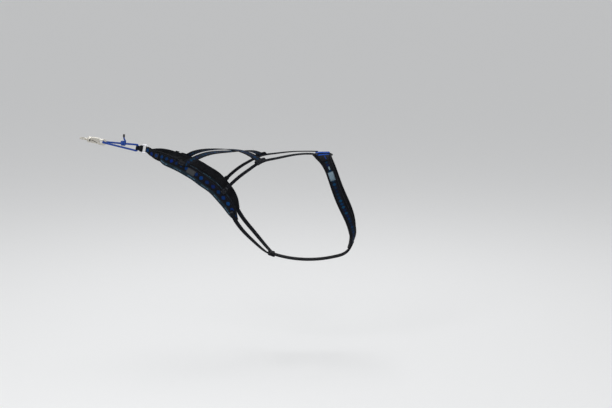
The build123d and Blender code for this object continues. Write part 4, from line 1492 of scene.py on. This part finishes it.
# shrunk sleeve on the tail
sleeveLook = {
    "wide": 0.0057, "round": 0.0022, "lip": 0.0008, "dome": 0.75, "pinch": 0.12,
    "heights": (-0.0025, 0.001, 0.006),
}
tip = [coil[-1] + lean * up for up in sleeveLook["heights"]]
course = cordCourse(splineLine(tip, 10), knotSide)
sleeve = rolledStrip("tugLoopTailSleeve", course["length"], sleeveLook["wide"], sleeveLook["wide"], 20, 16)
bead = vertexPlaces(sleeve)
share = np.clip((bead[:, 0] - (course["length"] - sleeveLook["round"])) / sleeveLook["round"], 0, 1)
bead[:, 1:] *= np.sqrt(1 - sleeveLook["dome"] * share**2)[:, None]
share = np.clip((sleeveLook["lip"] - bead[:, 0]) / sleeveLook["lip"], 0, 1)
bead[:, 1:] *= (1 - sleeveLook["pinch"] * share**2)[:, None]
moveVertices(sleeve, bead)
wear(sleeve, course)
hung(dressed(sleeve, sleeveFinish), "tug_loop", ["tug_loop_tail_tip"])
print("tug tab and tug loop made")

# painted shade: a dark block fills the window of the snap's base, and a dark bead lies in the groove down its
# side, each standing in for the shade inside them
snapMiddle = -0.0983
window = {"ahead": -0.0334, "long": 0.0036, "high": 0.0071, "deep": 0.005, "bevel": 0.0006}
groove = {"from": (-0.029, 0.0006), "to": (-0.0126, -0.0042), "wide": 0.0014, "thick": 0.0007, "side": 0.0047}
bpy.ops.object.select_all(action="DESELECT")
bpy.ops.mesh.primitive_cube_add(size=1)
windowShade = named("snapWindowShade")
flat = vertexPlaces(windowShade) * (window["long"], window["deep"], window["high"])
moveVertices(windowShade, [tugPlace(snapMiddle + window["ahead"] + x, y, z) for x, y, z in flat])
applied(windowShade, "BEVEL", width=window["bevel"], segments=3)
hung(dressed(windowShade, recessShadeFinish), "snap")
# the dark bead in the groove is painted shade
run = np.subtract(groove["to"], groove["from"])
line = rolledStrip("snapGrooveShade", np.hypot(*run), groove["wide"], groove["thick"], 20, 10)
run = run / np.hypot(*run)
x, y, z = vertexPlaces(line).T
ahead = snapMiddle + groove["from"][0] + x * run[0] - y * run[1]
up = groove["from"][1] + x * run[1] + y * run[0]
moveVertices(line, [tugPlace(a, -groove["side"] - out, u) for a, u, out in zip(ahead, up, z)])
hung(dressed(line, recessShadeFinish), "snap")

# metal pieces keep their shape and get their plating
plating = {"joining_ring": ringFinish}
plating.update(dict.fromkeys(("snap_body", "snap_bolt", "swivel_eye"), snapFinish))
for name, finish in plating.items():
    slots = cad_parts[name].data.materials
    if not slots:
        slots.append(finish)
    for k in range(len(slots)):
        slots[k] = finish

# wide pale floor, and a sky of the same tone where it ends
studio = {
    "floor": -0.42, "wide": 90.0, "light": 0.62,
    "colour": (0.88, 0.885, 0.89), "sky": (0.9, 0.905, 0.91),
}
bpy.ops.object.select_all(action="DESELECT")
middle = (0, 0, studio["floor"])
bpy.ops.mesh.primitive_circle_add(vertices=64, radius=studio["wide"] / 2, fill_type="NGON", location=middle)
floor = named("studioFloor")
bpy.ops.object.transform_apply(location=True)
paper = bpy.data.materials.new("studioPaper")
paper.use_nodes = True
paper.node_tree.nodes["Principled BSDF"].inputs["Base Color"].default_value = (*studio["colour"], 1)
paper.node_tree.nodes["Principled BSDF"].inputs["Roughness"].default_value = 0.9
dressed(floor, paper)
world = bpy.data.worlds.new("studioSky")
bpy.context.scene.world = world
world.use_nodes = True
sky = world.node_tree
background = sky.nodes["Background"]
rays = sky.nodes.new("ShaderNodeLightPath").outputs
shown = calc(sky, "MAXIMUM", rays["Is Camera Ray"], rays["Is Glossy Ray"])
shown = calc(sky, "MAXIMUM", shown, rays["Is Transmission Ray"])
feed(sky, remap(sky, shown, 0, 1, studio["light"], 1), background.inputs["Strength"])
background.inputs["Color"].default_value = (*studio["sky"], 1)

# soft lamps
lamps = [
    {"name": "keyLamp", "place": (-1.1, -1.9, 1.7), "size": 1.2, "power": 20},
    {"name": "fillLamp", "place": (1.6, -1.7, 0.4), "size": 1.6, "power": 7},
    {"name": "topLamp", "place": (-0.1, 1.0, 1.8), "size": 1.2, "power": 14},
]
aim = Vector((-0.3, 0, 0))
for lamp in lamps:
    bpy.ops.object.light_add(type="AREA", location=lamp["place"])
    light = bpy.context.object
    light.name = lamp["name"]
    light.data.energy = lamp["power"]
    light.data.size = lamp["size"]
    light.rotation_euler = (aim - Vector(lamp["place"])).to_track_quat("-Z", "Y").to_euler()

# camera at the photograph's angle and framing
view = {"elevation": 10, "distance": 8.0, "wide": 1.683, "sensor": 36, "aim": (-0.0825, 0, -0.01675)}
tilt = radians(view["elevation"])
bpy.ops.object.camera_add()
camera = bpy.context.object
camera.name = "photoCamera"
camera.location = Vector(view["aim"]) + Vector((0, -cos(tilt), sin(tilt))) * view["distance"]
camera.rotation_euler = (pi / 2 - tilt, 0, 0)
camera.data.lens = view["sensor"] * view["distance"] / view["wide"]
camera.data.clip_end = 60
bpy.context.scene.camera = camera
bpy.context.scene.view_settings.view_transform = "Standard"
print("studio ready")
